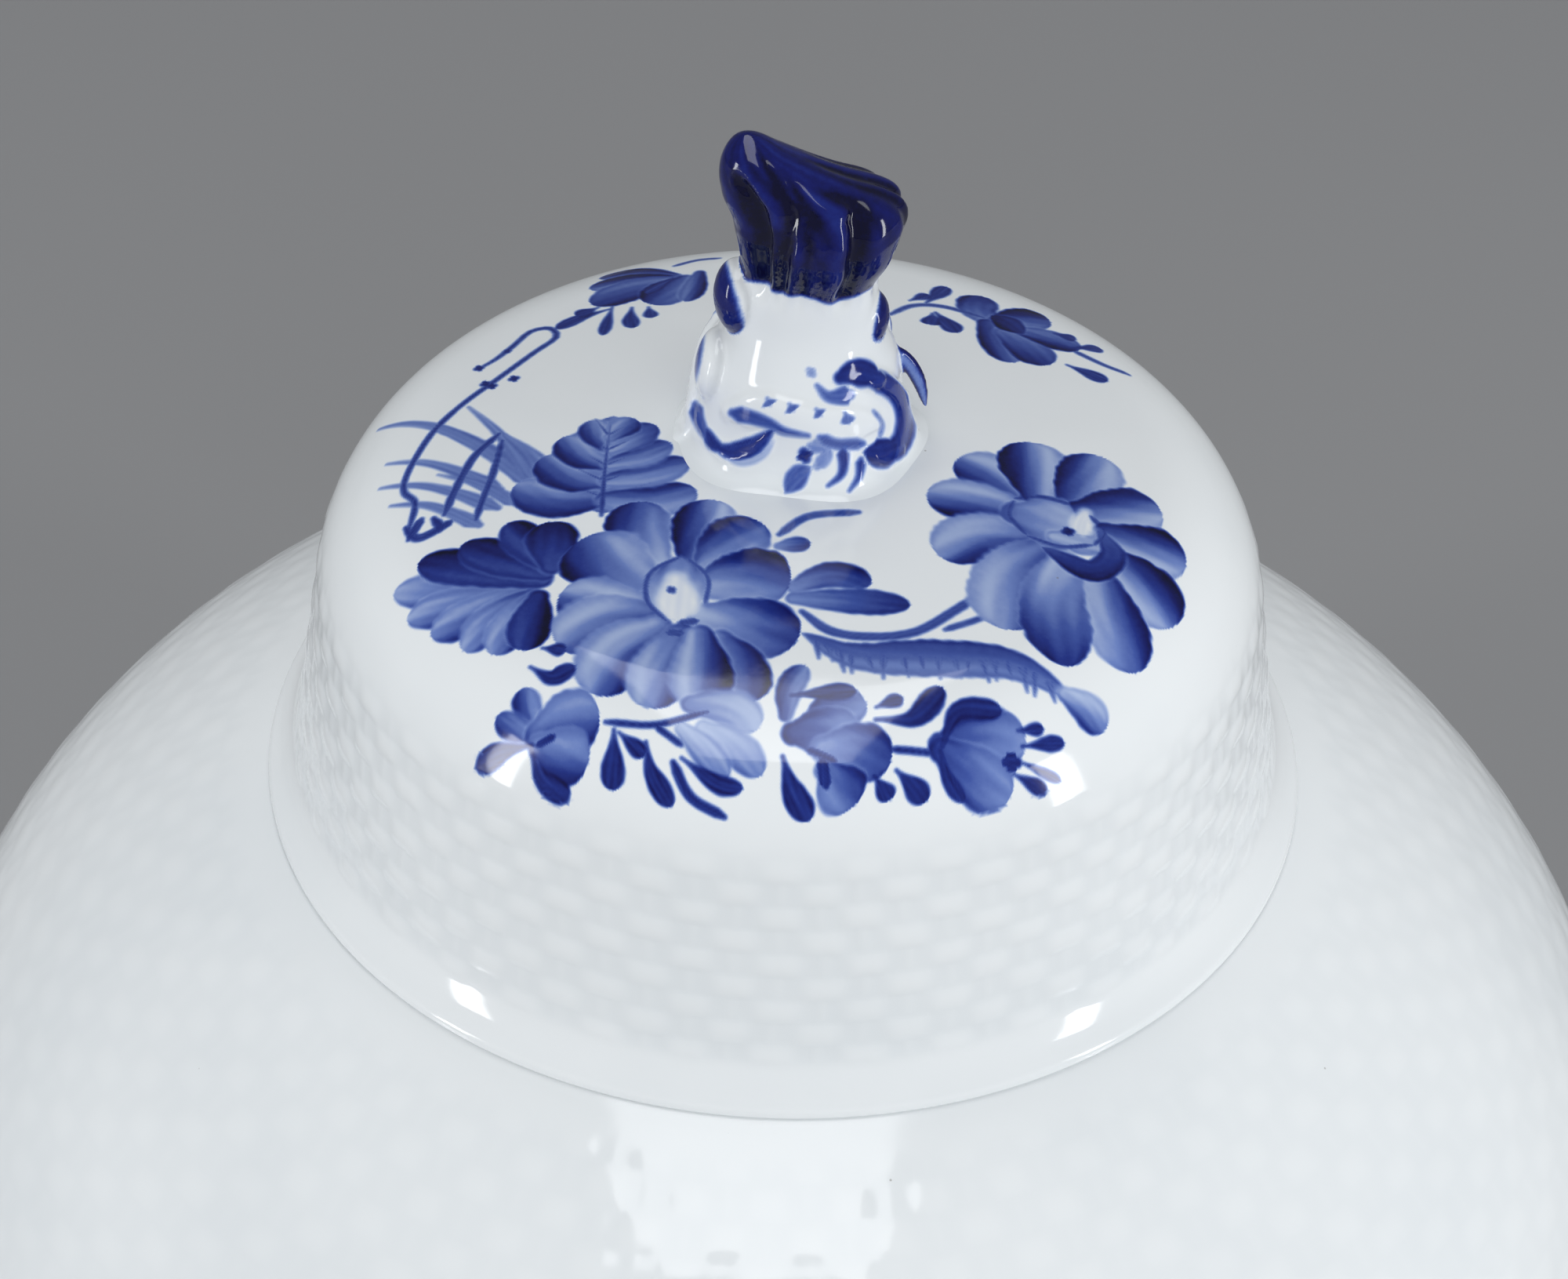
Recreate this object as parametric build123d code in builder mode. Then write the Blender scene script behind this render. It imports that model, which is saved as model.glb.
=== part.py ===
"""Lidded rice bowl in glazed porcelain: a globular bowl on a foot ring, and a tall cap lid with a modelled knob.

Millimetres, +Z up. The origin is the centre of the foot ring's resting face.
The lid sits with its flange on the flat seat round the mouth, and its locating ring hangs inside the mouth.
"""

import os
from math import asin, cos, degrees, radians, sin, sqrt

from build123d import *

# Bowl
belly_radius = 121.8  # widest girth
belly_height = 83.7  # of the widest girth above the foot
seat_height = 152.0  # of the flat seat that the lid rests on
mouth_radius = 58.0
seat_width = 9.4  # from the mouth out to where the shoulder begins
bowl_wall = 5.5
seat_edge_round = 1.0

# Foot ring
foot_radius = 61.0
foot_height = 8.0
foot_ring_width = 6.5
foot_recess = 5.0  # hollow under the bowl, inside the ring
foot_edge_round = 1.5
floor_thickness = 7.0  # from the recess up to the inside of the bowl
floor_round = 12.0  # inside, where the floor turns up into the wall

# Lid
rim_overhang = 0.6  # of the lid's rim past the seat
rim_thickness = 1.4  # at the outer edge
rim_edge_round = 0.6
flange_width = 3.7  # plain band between the rim's edge and the foot of the wall
flange_rise = 4.1
wall_inset = 10.1  # from the rim in to where the wall would meet the dome
lid_height = 50.6  # from the seat to the top of the dome
dome_radius = 266.0  # of the dome's arc, which is centred on the axis
shoulder_round = 19.0
lid_wall = 4.0

# Locating ring under the lid
ring_clearance = 0.8  # to the mouth, all round
ring_depth = 9.0
ring_thickness = 4.0
ring_edge_round = 1.2
ring_blend = 7.0  # height over which the inside of the wall runs in to the ring

# Knob
knob_base_radius = 14.5
knob_height = 44.2
mound_height = 17.0  # of the scrolled base, up to the waist
waist_radius = 8.6
mound_edge = 3.2  # upright edge of the mound where it meets the lid
bud_width = 21.0  # across the fluted bud, along X
bud_depth = 15.0  # through it, along Y
bud_lean = -1.6  # how far the bud's top stands to one side
bud_tip_width = 12.0
bud_tip_depth = 7.5
bud_tip_round = 2.4


def ellipse_radius(half_width, half_height, rise):
    """Radius of an elliptical wall at a height above or below its widest girth."""
    return half_width * sqrt(1 - (rise / half_height) ** 2)


def half_height_through(half_width, radius, rise):
    """Half height of the ellipse that has this half width and passes through a radius at a rise."""
    return rise / sqrt(1 - (radius / half_width) ** 2)


def dome_drop(radius, arc_radius):
    """How far a dome's arc has fallen below its top at a radius from the axis."""
    return arc_radius - sqrt(arc_radius**2 - radius**2)


# Bowl: the outside is half an ellipse above the girth and half of another one below it, and the inside is the same,
# one wall thickness in.
seat_radius = mouth_radius + seat_width
upper_outside = half_height_through(belly_radius, seat_radius, seat_height - belly_height)
lower_outside = half_height_through(belly_radius, foot_radius, belly_height - foot_height)
belly_inside = belly_radius - bowl_wall
upper_inside = upper_outside - bowl_wall
lower_inside = lower_outside - bowl_wall
floor_height = foot_recess + floor_thickness
lip_underside = seat_height - bowl_wall
lip_radius = ellipse_radius(belly_inside, upper_inside, lip_underside - belly_height)
floor_radius = ellipse_radius(belly_inside, lower_inside, belly_height - floor_height)
foot_inner_radius = foot_radius - foot_ring_width


def height_angle(rise, half_height):
    """Angle on an ellipse, in degrees, at a rise above its centre."""
    return degrees(asin(rise / half_height))


with BuildPart() as bowl:
    with BuildSketch(Plane.XZ) as bowl_section:
        with BuildLine():
            girth = (0, belly_height)
            Polyline(
                (0, foot_recess),
                (foot_inner_radius, foot_recess),
                (foot_inner_radius, 0),
                (foot_radius, 0),
                (foot_radius, foot_height),
            )
            foot_angle = height_angle(foot_height - belly_height, lower_outside)
            seat_angle = height_angle(seat_height - belly_height, upper_outside)
            EllipticalCenterArc(girth, belly_radius, lower_outside, foot_angle, arc_size=-foot_angle)
            EllipticalCenterArc(girth, belly_radius, upper_outside, 0, arc_size=seat_angle)
            Polyline(
                (seat_radius, seat_height),
                (mouth_radius, seat_height),
                (mouth_radius, lip_underside),
                (lip_radius, lip_underside),
            )
            lip_angle = height_angle(lip_underside - belly_height, upper_inside)
            floor_angle = height_angle(floor_height - belly_height, lower_inside)
            EllipticalCenterArc(girth, belly_inside, upper_inside, 0, arc_size=lip_angle)
            EllipticalCenterArc(girth, belly_inside, lower_inside, floor_angle, arc_size=-floor_angle)
            Polyline((floor_radius, floor_height), (0, floor_height), (0, foot_recess))
        make_face()
    revolve(axis=Axis.Z)
    fillet(bowl.edges().group_by(Axis.Z)[-1], seat_edge_round)
    fillet(bowl.edges().group_by(Axis.Z)[0], foot_edge_round)
    floor_edge = bowl.edges().filter_by(GeomType.CIRCLE).filter_by_position(
        Axis.Z, floor_height - 0.01, floor_height + 0.01
    )
    fillet(floor_edge, floor_round)

# Lid: flange, leaning wall and dome outside, the same inside one wall thickness in, and the locating ring below.
rim_radius = seat_radius + rim_overhang
ring_radius = mouth_radius - ring_clearance
ring_inner_radius = ring_radius - ring_thickness
wall_foot_radius = rim_radius - flange_width
shoulder_radius = rim_radius - wall_inset
shoulder_height = lid_height - dome_drop(shoulder_radius, dome_radius)
wall_lean = (wall_foot_radius - shoulder_radius) / (shoulder_height - flange_rise)
wall_across = lid_wall * sqrt(1 + wall_lean**2)  # the wall's thickness measured level
inner_shoulder_radius = shoulder_radius - wall_across + lid_wall * wall_lean
inner_dome_radius = dome_radius - lid_wall
inner_shoulder_height = lid_height - lid_wall - dome_drop(inner_shoulder_radius, inner_dome_radius)
inner_foot_radius = inner_shoulder_radius + wall_lean * (inner_shoulder_height - ring_blend)
knob_seat_height = lid_height - dome_drop(knob_base_radius, dome_radius)

with BuildPart() as lid:
    with BuildSketch(Plane.XZ) as lid_section:
        with BuildLine():
            outer_middle = (shoulder_radius + knob_base_radius) / 2
            inner_middle = inner_shoulder_radius / 2
            Polyline(
                (0, seat_height + knob_seat_height),
                (knob_base_radius, seat_height + knob_seat_height),
            )
            ThreePointArc(
                (knob_base_radius, seat_height + knob_seat_height),
                (outer_middle, seat_height + lid_height - dome_drop(outer_middle, dome_radius)),
                (shoulder_radius, seat_height + shoulder_height),
            )
            Polyline(
                (shoulder_radius, seat_height + shoulder_height),
                (wall_foot_radius, seat_height + flange_rise),
                (rim_radius, seat_height + rim_thickness),
                (rim_radius, seat_height),
                (ring_radius, seat_height),
                (ring_radius, seat_height - ring_depth),
                (ring_inner_radius, seat_height - ring_depth),
                (ring_inner_radius, seat_height),
                (inner_foot_radius, seat_height + ring_blend),
                (inner_shoulder_radius, seat_height + inner_shoulder_height),
            )
            ThreePointArc(
                (inner_shoulder_radius, seat_height + inner_shoulder_height),
                (inner_middle, seat_height + lid_height - lid_wall - dome_drop(inner_middle, inner_dome_radius)),
                (0, seat_height + lid_height - lid_wall),
            )
            Line((0, seat_height + lid_height - lid_wall), (0, seat_height + knob_seat_height))
        make_face()
    revolve(axis=Axis.Z)

    def lid_edge(radius, height):
        """The circular edge of the lid at a radius, at a height above the seat."""
        level = lid.edges().filter_by(GeomType.CIRCLE).filter_by_position(
            Axis.Z, seat_height + height - 0.01, seat_height + height + 0.01
        )
        return level.sort_by(lambda edge: abs(edge.radius - radius))[0]

    fillet(lid_edge(shoulder_radius, shoulder_height), shoulder_round)
    fillet(lid_edge(inner_shoulder_radius, inner_shoulder_height), shoulder_round - lid_wall)
    fillet([lid_edge(rim_radius, 0), lid_edge(rim_radius, rim_thickness)], rim_edge_round)
    fillet([lid_edge(ring_radius, -ring_depth), lid_edge(ring_inner_radius, -ring_depth)], ring_edge_round)

# Knob: a bell-shaped mound, and a bud that is lofted from the waist up to a leaning tip.
knob_foot = seat_height + knob_seat_height
waist_height = knob_foot + mound_height
bud_rise = knob_height - mound_height

with BuildPart() as knob:
    with BuildSketch(Plane.XZ) as mound_section:
        with BuildLine():
            Line((0, knob_foot), (knob_base_radius, knob_foot))
            Line((knob_base_radius, knob_foot), (knob_base_radius, knob_foot + mound_edge))
            Spline(
                (knob_base_radius, knob_foot + mound_edge),
                (waist_radius, waist_height),
                tangents=((-0.35, 1), (0.1, 1)),
            )
            Polyline((waist_radius, waist_height), (0, waist_height), (0, knob_foot))
        make_face()
    revolve(axis=Axis.Z)
    bud_stations = (
        # share of the bud's rise, share of the way from waist to full width, lean
        (0.0, 0.0, 0.0),
        (0.3, 0.25, 0.15),
        (0.72, 1.0, 0.6),
    )
    for share, spread, lean in bud_stations:
        with BuildSketch(Plane.XY.offset(waist_height + share * bud_rise)):
            with Locations((lean * bud_lean, 0)):
                Ellipse(
                    waist_radius + spread * (bud_width / 2 - waist_radius),
                    waist_radius + spread * (bud_depth / 2 - waist_radius),
                )
    with BuildSketch(Plane.XY.offset(knob_foot + knob_height)):
        with Locations((bud_lean, 0)):
            Ellipse(bud_tip_width / 2, bud_tip_depth / 2)
    loft()
    fillet(knob.edges().group_by(Axis.Z)[-1], bud_tip_round)

os.makedirs("parts", exist_ok=True)
for name, built in (("bowl", bowl), ("lid", lid), ("knob", knob)):
    built.part.label = name
    export_step(built.part, f"parts/{name}.step")
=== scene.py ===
import math

import bpy
import numpy as np
from mathutils import Matrix, Vector
from mathutils.kdtree import KDTree


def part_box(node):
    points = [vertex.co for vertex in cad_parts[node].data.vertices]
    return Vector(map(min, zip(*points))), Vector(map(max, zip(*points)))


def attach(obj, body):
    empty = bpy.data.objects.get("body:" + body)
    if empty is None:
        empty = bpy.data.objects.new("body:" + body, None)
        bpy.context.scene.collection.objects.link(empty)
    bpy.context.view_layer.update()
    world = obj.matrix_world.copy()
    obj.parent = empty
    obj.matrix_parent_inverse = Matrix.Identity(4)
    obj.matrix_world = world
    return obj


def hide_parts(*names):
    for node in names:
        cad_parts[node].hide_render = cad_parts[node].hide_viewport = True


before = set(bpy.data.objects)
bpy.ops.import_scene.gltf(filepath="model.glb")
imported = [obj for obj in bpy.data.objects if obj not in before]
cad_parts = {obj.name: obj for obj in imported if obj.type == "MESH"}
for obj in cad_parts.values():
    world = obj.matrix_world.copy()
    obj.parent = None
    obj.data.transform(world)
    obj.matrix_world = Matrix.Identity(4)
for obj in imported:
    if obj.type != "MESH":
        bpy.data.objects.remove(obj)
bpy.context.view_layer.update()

# A lidded rice bowl in white porcelain: basket-weave relief, blue painting under the glaze,
# and a fluted bud for a knob.
# Shapes are worked out in millimetres and turned into metres where a mesh is made.

mm = 0.001
bowlHigh = np.array(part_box("bowl")[1]) / mm
lidHigh = np.array(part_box("lid")[1]) / mm
knobLow = np.array(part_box("knob")[0]) / mm
seatHeight = bowlHigh[2]  # the lid rests here, on the bowl's flat seat
bellyRadius = bowlHigh[0]
rimRadius = lidHigh[0]
knobFoot = knobLow[2]  # where the knob stands on the lid


# small maths

def smooth(low, high, value):
    share = np.clip((value - low) / (high - low), 0, 1)
    return share * share * (3 - 2 * share)


def ripple(x, y, seed=0.0):
    # soft hand-made unevenness between -1 and 1, the same on every run
    wave = np.sin(1.7 * x + 1.3 * np.sin(0.9 * y + seed) + seed)
    wave = wave + np.sin(2.3 * y - 1.1 * x + 1.7 * np.sin(1.3 * x - seed) + 2.1 * seed)
    return (wave + np.sin(3.7 * x + 4.1 * y + 0.7 * seed)) / 3


def softLine(points, samples=28):
    # a smooth line through the given points
    points = np.array(points, dtype=float)
    if len(points) == 2:
        share = np.linspace(0, 1, samples)[:, None]
        return points[0] * (1 - share) + points[1] * share
    padded = np.vstack([2 * points[0] - points[1], points, 2 * points[-1] - points[-2]])
    spans = len(points) - 1
    place = np.linspace(0, spans, samples)
    index = np.minimum(place.astype(int), spans - 1)
    t = (place - index)[:, None]
    p0, p1, p2, p3 = padded[index], padded[index + 1], padded[index + 2], padded[index + 3]
    curve = 2 * p1 + (p2 - p0) * t + (2 * p0 - 5 * p1 + 4 * p2 - p3) * t**2
    return (curve + (3 * p1 - p0 - 3 * p2 + p3) * t**3) / 2


def along(outline):
    # length along an outline, point by point
    steps = np.hypot(*np.diff(outline, axis=0).T)
    return np.concatenate([[0], np.cumsum(steps)])


def resample(outline, start, end, step):
    # points on an outline between two lengths, about a step apart
    length = along(outline)
    count = max(int(round((end - start) / step)), 1)
    at = np.linspace(start, end, count + 1)
    return np.stack([np.interp(at, length, outline[:, 0]), np.interp(at, length, outline[:, 1])], axis=1)


def arcPoints(centre, radii, start, end, count):
    angle = np.radians(np.linspace(start, end, count))
    return np.stack([centre[0] + radii[0] * np.cos(angle), centre[1] + radii[1] * np.sin(angle)], axis=1)


def roundedLine(corners, radii, step=0.25):
    # straight runs with an arc at each inner corner; radius 0 leaves it sharp
    corners = [np.array(corner, dtype=float) for corner in corners]
    points = [corners[0]]
    for before, corner, after, radius in zip(corners, corners[1:], corners[2:], radii):
        inward, outward = before - corner, after - corner
        inward, outward = inward / np.hypot(*inward), outward / np.hypot(*outward)
        half = math.acos(np.clip(inward @ outward, -1, 1)) / 2
        if radius == 0:
            points.append(corner)
            continue
        reach = radius / math.tan(half)
        middle = corner + (inward + outward) / np.hypot(*(inward + outward)) * radius / math.sin(half)
        first = corner + inward * reach - middle
        last = corner + outward * reach - middle
        turn = math.atan2(first[0] * last[1] - first[1] * last[0], first @ last)
        for share in np.linspace(0, 1, max(int(abs(turn) * radius / step), 3) + 1):
            angle = turn * share
            spin = np.array([[math.cos(angle), -math.sin(angle)], [math.sin(angle), math.cos(angle)]])
            points.append(middle + spin @ first)
    points.append(corners[-1])
    return np.array(points)


# meshes made of rings

def stitch(firstA, countA, firstB, countB):
    # triangles between two rings of any two counts that start at the same angle
    edgeA = np.arange(countA)
    reachB = np.round((edgeA + 0.5) / countA * countB).astype(int)
    edgeB = np.arange(countB)
    reachA = np.searchsorted(reachB, edgeB, side="right")
    trisA = np.stack([firstA + edgeA, firstA + (edgeA + 1) % countA, firstB + reachB % countB], axis=1)
    trisB = np.stack([firstB + (edgeB + 1) % countB, firstB + edgeB, firstA + reachA % countA], axis=1)
    return [trisA, trisB]


class RingMesh:
    # a shell made loop by loop, each stitched to the one before; a loop of one point is a pole
    def __init__(self):
        self.points, self.triangles, self.rings, self.total = [], [], [], 0

    def loop(self, points):
        count = len(points)
        self.points.append(points)
        if self.rings:
            first, before = self.rings[-1]
            self.triangles += stitch(first, before, self.total, count)
        self.rings.append((self.total, count))
        self.total += count

    def ring(self, radius, height, count):
        angle = np.arange(count) / count * 2 * np.pi
        radius, height = np.broadcast_to(radius, count), np.broadcast_to(height, count)
        self.loop(np.stack([radius * np.cos(angle), radius * np.sin(angle), height], axis=1))

    def closeLoop(self):
        first, count = self.rings[0]
        last, countLast = self.rings[-1]
        self.triangles += stitch(last, countLast, first, count)

    def arrays(self):
        points = np.concatenate(self.points)
        triangles = np.concatenate(self.triangles)
        alike = (triangles[:, 0] == triangles[:, 1]) | (triangles[:, 1] == triangles[:, 2])
        alike |= triangles[:, 0] == triangles[:, 2]
        triangles = triangles[~alike]
        corners = points[triangles]
        volume = np.einsum("ij,ij->i", corners[:, 0], np.cross(corners[:, 1], corners[:, 2])).sum()
        return points, triangles if volume > 0 else triangles[:, ::-1]


def keepLayers(mesh, layers):
    # numbers kept at each point for the materials to read
    for layer, values in layers.items():
        mesh.attributes.new(layer, "FLOAT", "POINT").data.foreach_set("value", values.astype(np.float32))


def makeMesh(name, points, faces, crease=40, **layers):
    # points in millimetres; edges sharper than the crease, in degrees, stay sharp
    mesh = bpy.data.meshes.new(name)
    mesh.vertices.add(len(points))
    mesh.vertices.foreach_set("co", (points * mm).astype(np.float32).ravel())
    size = faces.shape[1]
    mesh.loops.add(faces.size)
    mesh.loops.foreach_set("vertex_index", faces.astype(np.int32).ravel())
    mesh.polygons.add(len(faces))
    mesh.polygons.foreach_set("loop_start", np.arange(0, faces.size, size, dtype=np.int32))
    mesh.update(calc_edges=True)
    mesh.validate()
    keepLayers(mesh, layers)
    mesh.shade_smooth()
    mesh.set_sharp_from_angle(angle=math.radians(crease))
    piece = bpy.data.objects.new(name, mesh)
    bpy.context.scene.collection.objects.link(piece)
    print(f"  {name}: {len(points)} points, {len(faces)} faces")
    return piece


# nodes

class Socket:
    # wraps one output, so that maths between sockets reads as sums
    def __init__(self, nodes, output):
        self.nodes, self.output = nodes, output

    def math(self, operation, *values):
        return self.nodes.node("ShaderNodeMath", {"operation": operation}, *values)

    def __add__(self, other):
        return self.math("ADD", self, other)

    def __sub__(self, other):
        return self.math("SUBTRACT", self, other)

    def __rsub__(self, other):
        return self.math("SUBTRACT", other, self)

    def __mul__(self, other):
        return self.math("MULTIPLY", self, other)

    __radd__ = __add__

    def spread(self, low, high):
        # 0 below low, 1 above high, smooth between
        settings = {"interpolation_type": "SMOOTHSTEP"}
        return self.nodes.node("ShaderNodeMapRange", settings, self, low, high, 0.0, 1.0)


class Nodes:
    def __init__(self, tree):
        self.tree = tree

    def node(self, kind, settings, *values, output=None, **named):
        made = self.tree.nodes.new(kind)
        for key, value in settings.items():
            if key == "stops":
                self.setStops(made.color_ramp, value)
            else:
                setattr(made, key, value)
        for key, value in [*enumerate(values), *named.items()]:
            self.plug(value, made.inputs[key.replace("_", " ") if isinstance(key, str) else key])
        shown = [socket for socket in made.outputs if socket.enabled]
        return Socket(self, shown[0] if output is None else made.outputs[output])

    def setStops(self, ramp, stops):
        while len(ramp.elements) < len(stops):
            ramp.elements.new(0.5)
        for element, (position, colour) in zip(ramp.elements, stops):
            element.position, element.color = position, (*colour, 1.0)

    def plug(self, value, socket):
        if isinstance(value, Socket):
            self.tree.links.new(value.output, socket)
        else:
            socket.default_value = value


class Material(Nodes):
    def __init__(self, name):
        self.material = bpy.data.materials.new(name)
        self.material.use_nodes = True
        super().__init__(self.material.node_tree)
        self.shader = self.tree.nodes["Principled BSDF"]
        self.place = self.node("ShaderNodeTexCoord", {}, output="Object")

    def set(self, **values):
        for key, value in values.items():
            self.plug(value, self.shader.inputs[key.replace("_", " ")])

    def layer(self, name):
        return self.node("ShaderNodeAttribute", {"attribute_name": name}, output="Fac")

    def noise(self, scale, detail=2.0, roughness=0.5):
        return self.node(
            "ShaderNodeTexNoise", {}, Vector=self.place, Scale=scale, Detail=detail, Roughness=roughness
        )

    def mix(self, share, first, second):
        made = self.tree.nodes.new("ShaderNodeMix")
        made.data_type = "RGBA"
        for socket, value in ((made.inputs[0], share), (made.inputs[6], first), (made.inputs[7], second)):
            self.plug(value, socket)
        return Socket(self, made.outputs[2])


glazeLook = {
    "white": (0.80, 0.825, 0.835),
    "pooledAndShaded": (0.70, 0.735, 0.755),  # where the glaze lies thick, and painted shade in the weave's hollows and round the knob's foot
    "biscuit": (0.74, 0.71, 0.66),  # bare fired clay
    "speck": (0.16, 0.14, 0.11),  # pinholes and iron specks
    "speckSpacing": 75.0,
    "speckEdge": (0.008, 0.014),  # a speck is solid inside the first and gone past the second
    "speckShare": 0.5,
    "cloudScale": 22.0,  # of the patches where the glaze ran a little thicker
    "clouds": 0.35,
    "grain": 0.16,  # unevenness of the brushed blue
    "unevenness": 0.12,
    "unevenDepth": 0.0012,
    "roughness": 0.07,
    "bareRoughness": 0.55,
    "cobalt": [  # how much blue was brushed on, and the colour it fires to
        (0.00, (0.80, 0.825, 0.835)),
        (0.16, (0.40, 0.49, 0.71)),
        (0.34, (0.150, 0.225, 0.52)),
        (0.52, (0.050, 0.090, 0.345)),
        (0.70, (0.014, 0.030, 0.215)),
        (0.86, (0.006, 0.009, 0.105)),
        (1.00, (0.003, 0.003, 0.022)),
    ],
}


def glazeMaterial(name):
    # clear glossy glaze over white porcelain, with the blue painting under it
    look = glazeLook
    made = Material(name)
    clouds = made.noise(look["cloudScale"], 3.0).spread(0.42, 0.72)
    # darker in random patches where the glaze ran thicker, and where the pool layer marks pooled glaze and
    # painted shade
    poolingAndShade = clouds * look["clouds"] + made.layer("pool")
    white = made.mix(poolingAndShade, (*look["white"], 1), (*look["pooledAndShaded"], 1))
    grain = made.noise(900.0, 3.0, 0.7) - 0.5
    blue = made.layer("cobalt") * (1 + grain * look["grain"])
    inked = made.node("ShaderNodeValToRGB", {"stops": look["cobalt"]}, blue)
    white = made.mix(blue.spread(0.0, 0.02), white, inked)
    bare = made.layer("bare")
    speck = made.node(
        "ShaderNodeTexVoronoi", {}, Vector=made.place, Scale=look["speckSpacing"], output="Distance"
    )
    white = made.mix((1 - speck.spread(*look["speckEdge"])) * look["speckShare"], white, (*look["speck"], 1))
    made.set(Base_Color=made.mix(bare, white, (*look["biscuit"], 1)))
    shine = made.noise(40.0, 2.0) * 0.03 + look["roughness"]
    made.set(Roughness=shine * (1 - bare) + bare * look["bareRoughness"], Metallic=0.0, IOR=1.5)
    unevenness = made.noise(75.0, 1.0) * 0.6 + made.noise(420.0, 2.0) * 0.05
    depth = look["unevenDepth"]
    made.set(Normal=made.node(
        "ShaderNodeBump", {}, Strength=look["unevenness"], Distance=depth, Height=unevenness
    ))
    return made.material


# brushwork

compass = {
    "N": (0, 1), "NE": (0.7, 0.7), "E": (1, 0), "SE": (0.7, -0.7),
    "S": (0, -1), "SW": (-0.7, -0.7), "W": (-1, 0), "NW": (-0.7, 0.7),
}  # N is away from the front


def roundTip(t, start, length):
    # from full width at the start of the tip down to nothing at its end, as a quarter circle
    return np.sqrt(np.clip(1 - ((t - start) / length) ** 2, 0, 1))


def strokeWidth(kind, t):
    # how wide a stroke is along its length, as a share of its widest
    if kind == "petal":
        rising = 0.46 + 0.54 * np.sin(np.pi / 2 * np.clip(t / 0.62, 0, 1))
        return np.where(t < 0.62, rising, roundTip(t, 0.62, 0.38))
    if kind == "drop":
        rising = 0.12 + 0.88 * smooth(0, 0.72, t)
        return np.where(t < 0.72, rising, roundTip(t, 0.72, 0.28))
    if kind == "leaf":
        return np.sin(np.pi * np.clip(t, 0, 1)) ** 0.75
    if kind == "taper":
        return (1 - 0.85 * t) * np.clip(0.4 + t * 6, 0, 1)
    return np.clip(0.55 + 4 * t, 0, 1) * np.clip(0.55 + 4 * (1 - t), 0, 1)


brushLook = {
    "petalSpread": 1.10,  # petals are laid a little wider than drawn, so that they meet
    "grain": 0.05,
    "paleLine": 0.22,  # how much of the colour below is lifted in a thin line round a petal
    "paleFrom": 1.4,  # half width from which a petal has that line
    "wobble": 0.05,
}


def nearestOnLine(line, place):
    # for each place: distance to the line, share of its length reached there, and the nearest point on it
    length = along(line)
    best, at, foot = np.full(len(place), 1e9), np.zeros(len(place)), np.zeros((len(place), 2))
    for start, run, before in zip(line, np.diff(line, axis=0), length):
        reach = max(run @ run, 1e-9)
        share = np.clip((place - start) @ run / reach, 0, 1)
        spot = start + share[:, None] * run
        distance = np.hypot(*(place - spot).T)
        nearer = distance < best
        best = np.where(nearer, distance, best)
        at = np.where(nearer, (before + share * math.sqrt(reach)) / length[-1], at)
        foot = np.where(nearer[:, None], spot, foot)
    return best, at, foot


class Painting:
    # cobalt laid on a flat map of a surface, stroke by stroke
    def __init__(self, x, y):
        self.x, self.y, self.blue, self.count = x, y, np.zeros(len(x)), 0

    def stroke(self, points, width, dark="", kind="petal", tone=(0.19, 0.86), over=True, soft=0.7, edge=0.12):
        # tone is the palest and the deepest blue; dark is the side shaded; over covers what is below
        self.count += 1
        line = softLine(points)
        width = width * brushLook["petalSpread"] if kind == "petal" else width
        low, high = line.min(axis=0) - width - 0.6, line.max(axis=0) + width + 0.6
        near = np.flatnonzero((self.x > low[0]) & (self.x < high[0]) & (self.y > low[1]) & (self.y < high[1]))
        if len(near) == 0:
            return near, near
        place = np.stack([self.x[near], self.y[near]], axis=1)
        best, at, foot = nearestOnLine(line, place)
        wobble = 1 + brushLook["wobble"] * ripple(place[:, 0] * 0.9, place[:, 1] * 0.9, self.count * 1.3)
        half = width * strokeWidth(kind, at) * wobble
        inside = half - best
        mask = smooth(-soft / 2, soft / 2, inside)
        span = line[-1] - line[0]
        across = np.einsum("ij,ij->i", place - foot, np.array([[-1, 1]]) * span[::-1])
        across = across / (np.hypot(*span) * width)
        grain = ripple(across * 3.2 + self.count, at * 1.3, self.count * 0.7)
        light, deep = tone
        if dark:
            towards = np.array(compass[dark]) / np.hypot(*compass[dark])
            way = span / np.hypot(*span)
            extent = abs(towards @ way) * along(line)[-1] * 0.42
            extent = extent + abs(towards @ (way[::-1] * (-1, 1))) * width
            shade = (place - (line[0] + line[-1]) / 2 * 0.35 - foot * 0.65) @ towards / extent
            density = light + (deep - light) * smooth(-0.50, 0.74, shade + 0.06 * grain)
        else:
            density = light + (deep - light) * (0.55 + 0.25 * grain)
        rim = smooth(0.45, 0.95, best / np.maximum(half, 1e-6))
        density = density + edge * rim + brushLook["grain"] * 0.5 * grain
        if over and kind in ("petal", "leaf") and width > brushLook["paleFrom"]:
            self.blue[near] *= 1 - brushLook["paleLine"] * smooth(-0.6, -0.1, inside)
        if over:
            self.blue[near] = self.blue[near] * (1 - mask) + density * mask
        else:
            self.blue[near] = np.maximum(self.blue[near], density * mask)
        return near, mask

    def strokes(self, rows, **look):
        for row in rows:
            self.stroke(*row, **look)


# Strokes are given from root to tip on the lid's flat map, in millimetres from the knob,
# then half width and dark side.

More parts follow.
